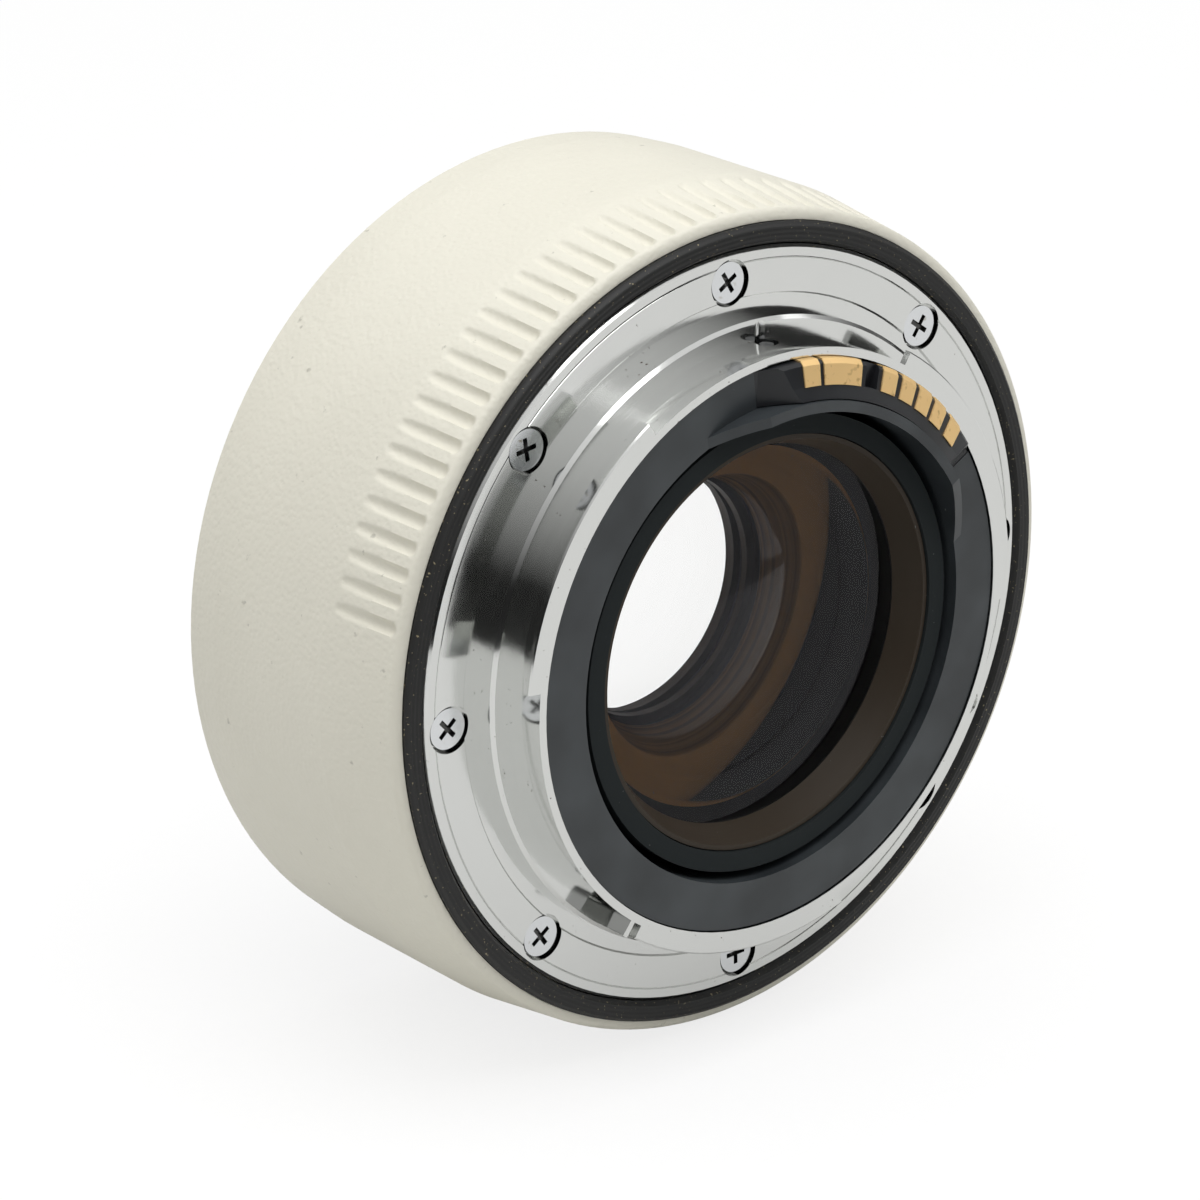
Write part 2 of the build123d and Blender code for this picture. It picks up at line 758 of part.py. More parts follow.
def front_mount():
    """Female bayonet ring with three lugs."""
    body = turned(
        (front_throat_radius, front_face),
        (front_mount_radius - front_mount_edge, front_face),
        (front_mount_radius, front_face + front_mount_edge),
        (front_mount_radius, front_mount_back),
        (hub_radius, front_mount_back),
        (hub_radius, lug_back),
        (lug_radius, lug_back),
        (lug_radius, front_face + lug_front_depth),
        (front_throat_radius, front_face + lug_front_depth),
    )
    gaps = zip(lug_ends, lug_starts[1:] + (lug_starts[0] + 360,))
    for start, end in gaps:
        body -= sector(lug_radius - overrun, front_throat_radius, start, end,
                       front_face, lug_back + overrun)
    fit = front_screw_shank_radius + running_gap
    seat = rod(front_screw_head_radius + running_gap, front_face - overrun, front_screw_seat())
    for angle in front_screw_angles:
        body -= at(front_screw_circle, angle) * rod(fit, front_face, front_mount_back + overrun)
        body -= at(front_screw_circle, angle) * seat
    body -= at(lock_circle, lock_angle) * rod(lock_pin_radius + running_gap, front_face - overrun,
                                              front_mount_back + overrun)
    body -= at(front_index_circle, front_index_angle) * rod(front_index_radius, front_face - overrun,
                                                            front_face + front_index_depth)
    body -= at(stop_pin_circle, stop_pin_angle) * rod(stop_pin_radius, lug_back - stop_pin_depth,
                                                      lug_back + overrun)
    body -= [at(leaf_middle(), angle) * rod(rivet_radius, lug_back - rivet_depth, lug_back + overrun)
             for angle in rivet_angles()]
    return body


def front_screw_seat():
    """Height of the floor under the front screw heads."""
    return front_face + front_screw_inset + front_screw_head_height


def front_mount_screws():
    """Four flat cross-head screws that hold the front bayonet ring."""
    one = screw(front_screw_head_radius, front_screw_head_height, front_screw_shank_radius,
                front_screw_length, (recess_length, recess_width, recess_depth))
    one = seated(one, front_screw_seat(), True)
    return [at(front_screw_circle, angle) * Rot(0, 0, turn) * one
            for angle, turn in zip(front_screw_angles, front_screw_turns)]


def leaf_middle():
    """Radius of the middle line of the leaf springs."""
    return (leaf_inner_radius + leaf_outer_radius) / 2


def rivet_angles():
    """Angles of the two rivets on each leaf spring."""
    pairs = [(start + rivet_end_angle, end - rivet_end_angle) for start, end in zip(lug_starts, lug_ends)]
    return [angle for pair in pairs for angle in pair]


def mount_springs():
    """Three leaf springs against the backs of the lugs."""
    springs = []
    for start, end in zip(lug_starts, lug_ends):
        leaf = sector(leaf_inner_radius, leaf_outer_radius, start + leaf_end_angle, end - leaf_end_angle,
                      lug_back, lug_back + leaf_thickness)
        hole = rod(rivet_radius, lug_back - overrun, lug_back + overrun)
        ends = (start + rivet_end_angle, end - rivet_end_angle)
        leaf -= [at(leaf_middle(), angle) * hole for angle in ends]
        springs.append(leaf)
    return springs


def spring_rivets():
    """Six rivets that hold the leaf springs."""
    top = lug_back + leaf_thickness
    one = rod(rivet_radius, lug_back - rivet_depth, top) + rod(rivet_head_radius, top, top + rivet_head)
    return [at(leaf_middle(), angle) * one for angle in rivet_angles()]


def mount_stop_pin():
    """Pin that stops the mounted lens at the end of its turn."""
    pin = rod(stop_pin_radius, lug_back - stop_pin_depth, lug_back - stop_pin_depth + stop_pin_length)
    return at(stop_pin_circle, stop_pin_angle) * pin


def front_index():
    """Red inlay in the front bayonet ring."""
    return at(front_index_circle, front_index_angle) * rod(front_index_radius, front_face,
                                                           front_face + front_index_depth)


def rear_index():
    """Red plug in the barrel."""
    return rear_index_tool(index_depth, index_proud)


def glass_seats():
    """Heights of the four shoulders that the glass sits against, from the front."""
    rear = rear_glass_top - rear_glass_edge - seat_gap
    inner = inner_glass_lift - web_rear_depth
    pair = inner - inner_glass_edge - inner_spacer_length - 2 * seat_gap
    front = pair - pair_crown_edge - pair_flint_edge - outer_spacer_length - 3 * seat_gap
    return front, pair, inner, rear


def nose_tip():
    """Front end of the lens unit, past the ring that holds the front glass."""
    back = glass_seats()[0] - front_glass_edge - 2 * seat_gap
    return back - front_retainer_length - front_retainer_inset


def lens_barrel():
    """Black rear barrel of the lens unit, bored in steps for the two rear glasses."""
    inner, rear = glass_seats()[2:]
    counterbore = cell_seat + cell_spigot_length + seat_gap
    rear_bore = rear_glass_radius + bore_gap
    body = turned(
        (retainer_radius + bore_gap, lens_rear_end),
        (lens_tube_radius, lens_rear_end),
        (lens_tube_radius, lens_flange_seat + lens_flange_thickness),
        (lens_flange_radius, lens_flange_seat + lens_flange_thickness),
        (lens_flange_radius, lens_flange_seat),
        (lens_spigot_radius, lens_flange_seat),
        (lens_spigot_radius, cell_seat),
        (cell_spigot_radius + running_gap, cell_seat),
        (cell_spigot_radius + running_gap, counterbore),
        (inner_glass_radius + bore_gap, counterbore),
        (inner_glass_radius + bore_gap, inner),
        (inner_glass_radius - seat_width, inner),
        (inner_glass_radius - seat_width, rear - (rear_stop_radius - inner_glass_radius + seat_width)),
        (rear_stop_radius, rear),
        (rear_bore, rear),
        (rear_bore, rear_glass_top),
        (retainer_radius + bore_gap, rear_glass_top),
    )
    fit = small_shank_radius + running_gap
    body -= [at(lens_screw_circle(), angle) * rod(fit, lens_flange_seat - overrun, 0)
             for angle in lens_screw_angles()]
    return body


def lens_cell():
    """Black front cell of the lens unit, which screws into the rear barrel and holds the front glasses."""
    front, pair = glass_seats()[:2]
    shoulder = cell_seat - seat_gap
    return turned(
        (inner_glass_radius + bore_gap, cell_seat + cell_spigot_length),
        (cell_spigot_radius, cell_seat + cell_spigot_length),
        (cell_spigot_radius, shoulder),
        (nose_radius, shoulder),
        (nose_radius, nose_tip() + nose_edge),
        (nose_radius - nose_edge, nose_tip()),
        (front_glass_radius + bore_gap, nose_tip()),
        (front_glass_radius + bore_gap, front),
        (pair_radius + bore_gap, front),
        (pair_radius + bore_gap, pair),
        (inner_glass_radius + bore_gap, pair),
    )


def lens_screw_circle():
    """Radius of the circle of the three screws in the lens unit's flange."""
    return (lens_flange_radius + lens_spigot_radius) / 2


def lens_screw_angles():
    """Angles of the three screws in the lens unit's flange."""
    return [lock_angle + 120 * number for number in range(3)]


def small_screw_at(seat, upwards=False, length=small_screw_length):
    """Small cross-head screw with its head on a seat."""
    one = screw(small_head_radius, small_head_height, small_shank_radius, length,
                (small_recess_length, small_recess_width, small_recess_depth))
    return seated(one, seat, upwards)


def lens_screw_tip():
    """Lowest point of the screws in the lens unit's flange."""
    return lens_flange_seat + lens_flange_thickness - small_screw_length


def lens_barrel_screws():
    """Three screws that hold the lens unit on the web."""
    one = small_screw_at(lens_flange_seat + lens_flange_thickness)
    return [at(lens_screw_circle(), angle) * one for angle in lens_screw_angles()]


def front_element():
    """Front glass, swelling on both sides."""
    rear_edge = glass_seats()[0] - seat_gap
    clear = pair_radius - seat_width - seat_gap
    return lens(front_glass_radius,
                (rear_edge - front_glass_edge, 1, front_glass_curve, front_retainer_bore - seat_gap),
                (rear_edge, 1, front_glass_back_curve, clear))


def front_retaining_ring():
    """Black ring in front of the front glass."""
    back = glass_seats()[0] - front_glass_edge - 2 * seat_gap
    return ring(front_retainer_bore, front_glass_radius, nose_tip() + front_retainer_inset, back)


def pair_joint():
    """Height of the cemented pair's outer joint."""
    return glass_seats()[1] - seat_gap - pair_crown_edge


def doublet_crown():
    """Rear half of the cemented pair."""
    clear = inner_glass_radius - seat_width - seat_gap
    return lens(pair_radius, (pair_joint(), 1, pair_inner_curve, pair_radius),
                (pair_joint() + pair_crown_edge, 1, pair_rear_curve, clear))


def doublet_flint():
    """Front half of the cemented pair."""
    return lens(pair_radius,
                (pair_joint() - pair_flint_edge, -1, pair_front_curve, pair_radius - seat_width - seat_gap),
                (pair_joint(), -1, pair_inner_curve, pair_radius))


def outer_spacer():
    """Ring between the front glass and the cemented pair."""
    top = pair_joint() - pair_flint_edge - seat_gap
    return ring(pair_radius - seat_width, pair_radius, glass_seats()[0] + seat_gap, top)


def inner_element():
    """Glass behind the cemented pair, swelling a little on both sides."""
    top = glass_seats()[2] - seat_gap
    clear = inner_glass_radius - seat_width
    return lens(inner_glass_radius, (top - inner_glass_edge, 1, inner_glass_front_curve, clear),
                (top, 1, inner_glass_rear_curve, clear))


def inner_spacer():
    """Ring between the cemented pair and the glass behind it."""
    low = glass_seats()[1]
    top = glass_seats()[2] - inner_glass_edge - 2 * seat_gap
    return ring(inner_glass_radius - seat_width, inner_glass_radius, low, top)


def rear_element():
    """Rear glass, the one seen from the camera side, hollow on its front face."""
    return lens(rear_glass_radius,
                (rear_glass_top - rear_glass_edge, -1, rear_glass_front_curve, rear_stop_radius - seat_gap),
                (rear_glass_top, 1, rear_glass_rear_curve, retainer_throat - seat_gap))


def rear_retaining_ring():
    """Black ring with a conical bore over the rear glass."""
    low = rear_glass_top + seat_gap
    top = lens_rear_end - retainer_top_drop
    return turned((retainer_throat, low), (retainer_radius, low), (retainer_radius, top),
                  (retainer_mouth, top))


def rear_baffle():
    """Dark plastic ring inside the male bayonet, with a guard lip along the contacts."""
    low = frame_top + seat_gap
    under = baffle_top - baffle_plate
    body = turned(
        (baffle_bore, baffle_top),
        (baffle_radius, baffle_top),
        (baffle_radius, low),
        (baffle_radius - baffle_skirt_wall, low),
        (baffle_radius - baffle_skirt_wall, under),
        (baffle_bore + baffle_inner_wall, under),
        (baffle_bore + baffle_inner_wall, -baffle_inner_depth),
        (baffle_bore, -baffle_inner_depth),
    )
    inner_cut = baffle_bore + baffle_inner_wall
    side = frame_gap
    body -= sector(inner_cut, baffle_radius + overrun, rear_block_start - side, rear_block_end + side,
                   low - overrun, baffle_top + overrun)
    lip = sector(baffle_bore, inner_cut, lip_start, lip_end, under, baffle_top + lip_height)
    for high, low_end in ((lip_high_start, lip_start), (lip_high_end, lip_end)):
        lip -= ramp_cutter(baffle_bore, inner_cut, high, low_end, baffle_top, lip_height)
    body += lip
    hole = Rot(0, 90, 0) * rod(neck_pin_radius, neck_pin_end, neck_radius)
    body -= across(neck_pin_height, neck_pin_angle) * hole
    return body


def baffle_locating_pin():
    """Small pin through the neck that keeps the baffle from turning."""
    pin = Rot(0, 90, 0) * rod(neck_pin_radius, neck_pin_end, neck_radius - neck_pin_inset)
    return across(neck_pin_height, neck_pin_angle) * pin


def block_surface():
    """Corners of the raised face of the rear contact block, from its outer wall inwards."""
    return [
        (rear_block_outer, land_outer_height),
        (rear_block_outer - land_fold, land_outer_height + land_fold),
        (land_inner_radius, land_inner_height),
        (rear_block_inner, crest_height),
    ]


def rear_contact_block():
    """Black block that carries the gold lands, with a foot under the frame."""
    foot_top = frame_rear_floor - seat_gap
    foot_low = foot_top - foot_thickness
    walls = ((rear_block_inner, foot_low), (rear_block_outer, foot_low))
    body = part_turned(rear_block_start, rear_block_end, *walls, *block_surface())
    rise = crest_height - rear_block_shoulder
    for high, low in ((rear_block_high_start, rear_block_start), (rear_block_high_end, rear_block_end)):
        body -= ramp_cutter(rear_block_inner, rear_block_outer, high, low, rear_block_shoulder, rise)
    body += sector(rear_block_outer, foot_radius, rear_block_start, rear_block_end, foot_low, foot_top)
    half = divider_span / 2
    body -= sector(land_inner_radius, rear_block_outer + overrun, divider_angle - half, divider_angle + half,
                   land_outer_height - divider_depth, crest_height + overrun)
    fit = small_shank_radius + running_gap
    body -= [at(foot_screw_circle, angle) * rod(fit, foot_low - overrun, foot_top + overrun)
             for angle in foot_screw_angles]
    hole = Rot(0, 90, 0) * rod(neck_pin_radius + running_gap, neck_pin_end - seat_gap, neck_radius)
    body -= across(neck_pin_height, neck_pin_angle) * hole
    return body


def rear_contact_lands():
    """Seven gold lands folded over the outer edge of the block."""
    lands = []
    thick = land_thickness
    outer, fold, inner = block_surface()[:3]
    section = (
        (inner[0], inner[1]),
        (inner[0], inner[1] + thick),
        (fold[0], fold[1] + thick),
        (outer[0] + thick, outer[1]),
        (outer[0] + thick, outer[1] - land_skirt),
        (outer[0], outer[1] - land_skirt),
        (outer[0], outer[1]),
        (fold[0], fold[1]),
    )
    for angle, span in zip(land_angles, land_spans):
        lands.append(part_turned(angle - span / 2, angle + span / 2, *section))
    return lands


def foot_screw_tip():
    """Highest point of the screws in the rear block's foot."""
    return frame_rear_floor - seat_gap - foot_thickness + small_screw_length


def rear_block_screws():
    """Two screws that hold the rear contact block to the frame."""
    one = small_screw_at(frame_rear_floor - seat_gap - foot_thickness, True)
    return [at(foot_screw_circle, angle) * one for angle in foot_screw_angles]


def front_block_span():
    """Lowest and highest height of the front contact block."""
    high = web_front - front_flex_thickness
    return high - front_block_height, high


def front_contact_block():
    """Black block that guides the sprung pins."""
    low, high = front_block_span()
    body = sector(front_block_inner, front_block_outer, front_block_start, front_block_end, low, high)
    guide = rod(contact_pin_radius + running_gap, low - overrun, high)
    chamber = rod(contact_collar_radius + running_gap, low + contact_bush_length, high + overrun)
    for angle in contact_pin_angles + extension_pin_angles:
        body -= at(contact_circle, angle) * guide
        body -= at(contact_circle, angle) * chamber
    fit = rod(small_shank_radius + running_gap, low - overrun, high + overrun)
    body -= [at(contact_circle, angle) * fit for angle in front_block_screw_angles]
    seat = rod(small_head_radius + running_gap, low - overrun, front_block_screw_seat())
    body -= [at(contact_circle, angle) * seat for angle in front_block_screw_angles]
    return body


def front_block_screw_seat():
    """Height of the floor under the heads of the front block's screws."""
    return front_block_span()[1] - small_screw_length + web_thickness / 2 - seat_gap


def front_block_screws():
    """Two screws that hold the front contact block to the web."""
    one = small_screw_at(front_block_screw_seat(), True)
    return [at(contact_circle, angle) * one for angle in front_block_screw_angles]


def contact_pin(angle):
    """One gold plunger, free to be pushed rearwards."""
    low = front_block_span()[0]
    tip = low - contact_free_length
    collar = low + contact_bush_length + seat_gap
    tail = collar + contact_collar_length
    tail_end = front_block_span()[1] - contact_travel - contact_tail_gap
    pin = turned(
        (0, tip),
        (contact_pin_radius - contact_tip_edge, tip),
        (contact_pin_radius, tip + contact_tip_edge),
        (contact_pin_radius, collar),
        (contact_collar_radius, collar),
        (contact_collar_radius, tail),
        (contact_tail_radius, tail),
        (contact_tail_radius, tail_end),
        (0, tail_end),
    )
    return at(contact_circle, angle) * pin


def contact_springs():
    """Eleven small springs behind the plungers' collars."""
    low, high = front_block_span()
    base = low + contact_bush_length + seat_gap + contact_collar_length + seat_gap
    one = coil(spring_coil_radius, spring_wire_radius, spring_turns, base, high - seat_gap)
    return [at(contact_circle, angle) * one for angle in contact_pin_angles + extension_pin_angles]


def front_flex():
    """Thin printed strip under the front block, up through the web to the board."""
    low = web_front - front_flex_thickness
    strip = sector(front_block_inner, front_block_outer, front_block_start, front_block_end, low, web_front)
    reach = front_flex_circle + flex_thickness - front_block_outer + seat_gap
    middle = front_block_outer - seat_gap + reach / 2
    strip += at(middle, contact_angle) * block(reach, front_flex_width, low, web_front)
    riser = block(flex_thickness, front_flex_width, low, boss_height - web_rear_depth)
    strip += at(front_flex_circle + flex_thickness / 2, contact_angle) * riser
    fit = rod(small_shank_radius + running_gap, low - overrun, web_front + overrun)
    strip -= [at(contact_circle, angle) * fit for angle in front_block_screw_angles]
    return strip


def rear_flex():
    """Thin printed strip from the rear block's foot down to the board."""
    top = frame_rear_floor - seat_gap - foot_thickness
    inner = rear_block_outer
    reach = rear_flex_circle + flex_thickness - inner
    strip = at(inner + reach / 2, contact_angle) * block(reach, flex_width, top - flex_thickness, top)
    riser = block(flex_thickness, flex_width, board_top(), top)
    strip += at(rear_flex_circle + flex_thickness / 2, contact_angle) * riser
    return strip


def board_top():
    """Height of the board's upper face."""
    return boss_height - web_rear_depth + board_thickness


def circuit_board():
    """Curved board on the frame's bosses."""
    low = boss_height - web_rear_depth
    body = sector(board_inner, board_outer, board_start, board_end, low, board_top())
    fit = rod(small_shank_radius + running_gap, low - overrun, low + overrun)
    body -= [at(boss_circle, angle) * fit for angle in boss_angles]
    return body


def board_screw_tip():
    """Lowest point of the board's screws."""
    return board_top() - small_screw_length


def board_screws():
    """Three screws that hold the board."""
    one = small_screw_at(board_top())
    return [at(boss_circle, angle) * one for angle in boss_angles]


def board_chips():
    """Packages soldered on the board."""
    low = board_top()
    return [at(chip_circle, angle) * block(length, width, low, low + height)
            for angle, (length, width, height) in zip(chip_angles, chip_sizes)]


def lock_pin():
    """Steel pin that locks the mounted lens."""
    fork = fork_low()
    rear_collar = fork + lever_plate + running_gap
    tail = rear_collar + lock_rear_collar
    tail_end = web_front - lock_travel - lock_tail_gap
    pin = turned(
        (0, front_face - lock_pin_proud),
        (lock_pin_radius - contact_tip_edge, front_face - lock_pin_proud),
        (lock_pin_radius, front_face - lock_pin_proud + contact_tip_edge),
        (lock_pin_radius, fork - running_gap - lock_front_collar),
        (lock_collar_radius, fork - running_gap - lock_front_collar),
        (lock_collar_radius, fork - running_gap),
        (lock_pin_radius, fork - running_gap),
        (lock_pin_radius, rear_collar),
        (lock_collar_radius, rear_collar),
        (lock_collar_radius, tail),
        (lock_tail_radius, tail),
        (lock_tail_radius, tail_end),
        (0, tail_end),
    )
    return at(lock_circle, lock_angle) * pin


def lock_pin_spring():
    """Spring between the lock pin's rear collar and the web."""
    low = fork_low() + lever_plate + running_gap + lock_rear_collar + seat_gap
    spring = coil(lock_spring_coil_radius, lock_spring_wire_radius, lock_spring_turns,
                  low, web_front - seat_gap)
    return at(lock_circle, lock_angle) * spring


def release_lever():
    """Lever outside the barrel, with a stem and an eye round the lock pin."""
    low = fork_low()
    high = low + lever_plate
    knob_inner = barrel_radius + knob_gap
    knob_outer = knob_inner + knob_height
    eye = at((lever_eye_inner + lever_eye_outer) / 2, lock_angle) * block(
        lever_eye_outer - lever_eye_inner, lever_eye_width, low, high)
    stem_length = knob_inner - lever_eye_outer + knob_height / 2
    stem = block(stem_length, lever_stem_width, low, high)
    stem = at(lever_eye_outer + stem_length / 2, lock_angle) * stem
    half = knob_span / 2
    knob = part_turned(
        lock_angle - half, lock_angle + half,
        (knob_inner, low - knob_front_reach),
        (knob_outer - knob_edge, low - knob_front_reach),
        (knob_outer, low - knob_front_reach + knob_edge),
        (knob_outer, high + knob_rear_reach - knob_edge),
        (knob_outer - knob_edge, high + knob_rear_reach),
        (knob_inner, high + knob_rear_reach),
    )
    middle = (low + high + knob_rear_reach - knob_front_reach) / 2
    for number in range(knob_groove_count):
        place = middle + (number - (knob_groove_count - 1) / 2) * knob_groove_pitch
        tool = Torus(knob_outer + knob_groove_radius - knob_groove_depth, knob_groove_radius)
        knob -= Pos(0, 0, place) * tool
    lever = eye + stem + knob
    lever -= at(lock_circle, lock_angle) * rod(lock_pin_radius + running_gap, low - overrun, high + overrun)
    return lever


save("grip_ring", grip_ring())
save("outer_barrel", outer_barrel())
save("inner_frame", inner_frame())
save("front_frame", front_frame())
save("frame_screws", *frame_screws())
save("rear_mount", rear_mount())
save("rear_mount_screws", *rear_mount_screws())
save("seal_ring", seal_ring())
save("rear_baffle", rear_baffle())
save("baffle_locating_pin", baffle_locating_pin())
save("rear_contact_block", rear_contact_block())
save("rear_contact_lands", *rear_contact_lands())
save("rear_block_screws", *rear_block_screws())
save("lens_barrel", lens_barrel())
save("lens_cell", lens_cell())
save("lens_barrel_screws", *lens_barrel_screws())
save("front_element", front_element())
save("front_retaining_ring", front_retaining_ring())
save("doublet_flint", doublet_flint())
save("doublet_crown", doublet_crown())
save("outer_spacer", outer_spacer())
save("inner_element", inner_element())
save("inner_spacer", inner_spacer())
save("rear_element", rear_element())
save("rear_retaining_ring", rear_retaining_ring())
save("front_mount", front_mount())
save("front_mount_screws", *front_mount_screws())
save("mount_springs", *mount_springs())
save("spring_rivets", *spring_rivets())
save("mount_stop_pin", mount_stop_pin())
save("front_index", front_index())
save("rear_index", rear_index())
save("front_contact_block", front_contact_block())
save("front_block_screws", *front_block_screws())
for number, angle in enumerate(contact_pin_angles, 1):
    save(f"contact_pin_{number}", contact_pin(angle))
for number, angle in enumerate(extension_pin_angles, 1):
    save(f"extension_pin_{number}", contact_pin(angle))
save("contact_springs", *contact_springs())
save("front_flex", front_flex())
save("rear_flex", rear_flex())
save("circuit_board", circuit_board())
save("board_screws", *board_screws())
save("board_chips", *board_chips())
save("lock_pin", lock_pin())
save("lock_pin_spring", lock_pin_spring())
save("release_lever", release_lever())
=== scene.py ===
"""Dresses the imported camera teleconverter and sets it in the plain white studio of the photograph.

The row frame is kept: the optical axis is Y, the camera side looks along -Y, and Z is up. Sizes are
given in millimetres and turned to metres where a mesh or a pattern is made.
"""

import json
import logging
import math
from dataclasses import dataclass
from enum import Enum
from typing import Any, Optional

import bmesh
import bpy
from mathutils import Matrix, Vector

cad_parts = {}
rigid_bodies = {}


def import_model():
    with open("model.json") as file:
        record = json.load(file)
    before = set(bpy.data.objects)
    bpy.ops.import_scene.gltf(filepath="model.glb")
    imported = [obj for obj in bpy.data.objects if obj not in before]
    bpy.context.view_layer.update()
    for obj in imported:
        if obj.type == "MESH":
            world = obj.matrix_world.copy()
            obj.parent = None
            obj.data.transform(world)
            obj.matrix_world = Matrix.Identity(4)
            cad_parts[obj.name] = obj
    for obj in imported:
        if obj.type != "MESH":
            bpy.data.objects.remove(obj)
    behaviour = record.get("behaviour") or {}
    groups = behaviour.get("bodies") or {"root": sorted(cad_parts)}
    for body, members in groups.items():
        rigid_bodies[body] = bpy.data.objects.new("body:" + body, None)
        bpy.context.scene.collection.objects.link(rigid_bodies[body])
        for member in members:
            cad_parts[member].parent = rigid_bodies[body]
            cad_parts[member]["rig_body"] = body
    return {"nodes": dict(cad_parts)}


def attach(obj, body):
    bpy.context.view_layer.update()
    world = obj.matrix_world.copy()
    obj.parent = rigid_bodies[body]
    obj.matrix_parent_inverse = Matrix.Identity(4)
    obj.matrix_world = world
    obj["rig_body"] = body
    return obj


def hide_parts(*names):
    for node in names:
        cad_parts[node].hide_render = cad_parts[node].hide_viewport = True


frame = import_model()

log = logging.getLogger("teleconverter")
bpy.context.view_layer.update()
MM = 0.001

MATERIALS: dict[str, bpy.types.Material] = {}
Links = dict[Any, bpy.types.NodeSocket]


def srgb(code: str) -> tuple[float, float, float, float]:
    """Turn a hex colour to the linear colour that a shader reads.

    Args:
        code: Colour as "#rrggbb" in sRGB.

    Returns:
        Linear red, green, blue and an alpha of one.
    """
    shares = [int(code[place:place + 2], 16) / 255 for place in (1, 3, 5)]
    red, green, blue = [s / 12.92 if s <= 0.04045 else ((s + 0.055) / 1.055) ** 2.4 for s in shares]
    return red, green, blue, 1.0


def add_node(tree: bpy.types.NodeTree, kind: str, settings: Optional[dict[Any, Any]] = None,
             links: Optional[Links] = None) -> bpy.types.Node:
    """Add one node with its settings and links.

    Args:
        tree: Node tree that takes the node.
        kind: Blender's name for the node.
        settings: Values by attribute name, or by the name or number of an input.
        links: Outputs to join, by the name or number of the input.

    Returns:
        The new node.
    """
    node = tree.nodes.new(kind)
    for key, value in (settings or {}).items():
        if isinstance(key, str) and hasattr(node, key):
            setattr(node, key, value)
        else:
            node.inputs[key].default_value = value
    for key, output in (links or {}).items():
        tree.links.new(output, node.inputs[key])
    return node


class Surface:
    """A material in the making: its shader, the place on the object and the relief laid on so far."""

    def __init__(self, name: str) -> None:
        """Start a material.

        Args:
            name: Name of the finish.
        """
        self.material = bpy.data.materials.new(name)
        self.material.use_nodes = True
        self.tree = self.material.node_tree
        self.tree.nodes.clear()
        self.shader = self.add("ShaderNodeBsdfPrincipled")
        self.add("ShaderNodeOutputMaterial", links={"Surface": self.shader.outputs[0]})
        self.place = self.add("ShaderNodeTexCoord").outputs["Object"]
        self.relief: Optional[bpy.types.NodeSocket] = None

    def add(self, kind: str, settings: Optional[dict[Any, Any]] = None,
            links: Optional[Links] = None) -> bpy.types.Node:
        """Add one node to this material, as add_node does."""
        return add_node(self.tree, kind, settings, links)

    def feed(self, name: str, output: bpy.types.NodeSocket) -> None:
        """Join an output to an input of the shader."""
        self.tree.links.new(output, self.shader.inputs[name])

    def engrave(self, height: bpy.types.NodeSocket, depth_mm: float) -> None:
        """Lay one more relief over what the surface has, and give the result to the shader.

        Args:
            height: Height of the relief, from 0 to 1.
            depth_mm: Real height of that 1.
        """
        links = {"Height": height}
        if self.relief is not None:
            links["Normal"] = self.relief
        self.relief = self.add("ShaderNodeBump", {"Distance": depth_mm * MM, "Strength": 1.0},
                               links).outputs[0]
        self.feed("Normal", self.relief)

    def cloud(self, size_mm: float, detail: float = 2.0, low: float = 0.0,
              high: float = 1.0) -> bpy.types.NodeSocket:
        """Make soft random patches of a real size, stretched to the range between two thresholds.

        Args:
            size_mm: Size of one patch.
            detail: How many finer layers are added.
            low: Noise value that becomes 0.
            high: Noise value that becomes 1.

        Returns:
            The pattern, from 0 to 1.
        """
        noise = self.add("ShaderNodeTexNoise", {"Scale": 1 / (size_mm * MM), "Detail": detail},
                         {"Vector": self.place})
        return self.add("ShaderNodeMapRange", {"From Min": low, "From Max": high},
                        {"Value": noise.outputs[0]}).outputs[0]

    def axis_distance(self) -> bpy.types.NodeSocket:
        """Measure how far each point is from the optical axis.

        Returns:
            The distance, in metres.
        """
        flat = self.add("ShaderNodeVectorMath", {"operation": "MULTIPLY", 1: (1, 0, 1)}, {0: self.place})
        return self.add("ShaderNodeVectorMath", {"operation": "LENGTH"}, {0: flat.outputs[0]}).outputs[1]

    def turning_marks(self, pitch_mm: float, detail: float = 3.0) -> bpy.types.NodeSocket:
        """Make the uneven rings that a lathe leaves round the optical axis.

        Args:
            pitch_mm: Mean distance between two rings.
            detail: How many finer rings lie between them.

        Returns:
            The rings' height, from 0 to 1.
        """
        along = self.add("ShaderNodeSeparateXYZ", links={0: self.place}).outputs[1]
        both = self.add("ShaderNodeMath", {"operation": "ADD"}, {0: self.axis_distance(), 1: along})
        rings = self.add("ShaderNodeTexNoise", {"noise_dimensions": "1D", "Scale": 1 / (pitch_mm * MM),
                                                "Detail": detail}, {"W": both.outputs[0]})
        return rings.outputs[0]

    def mixed(self, share: bpy.types.NodeSocket, first: Any, second: Any) -> bpy.types.NodeSocket:
        """Blend two colours, each a hex code or an output, by a share.

        Args:
            share: How much of the second colour shows.
            first: Colour where the share is 0.
            second: Colour where the share is 1.

        Returns:
            The blended colour.
        """
        settings: dict[Any, Any] = {"data_type": "RGBA"}
        links: Links = {0: share}
        for socket, color in ((6, first), (7, second)):
            if isinstance(color, str):
                settings[socket] = srgb(color)
            else:
                links[socket] = color
        return self.add("ShaderNodeMix", settings, links).outputs[2]


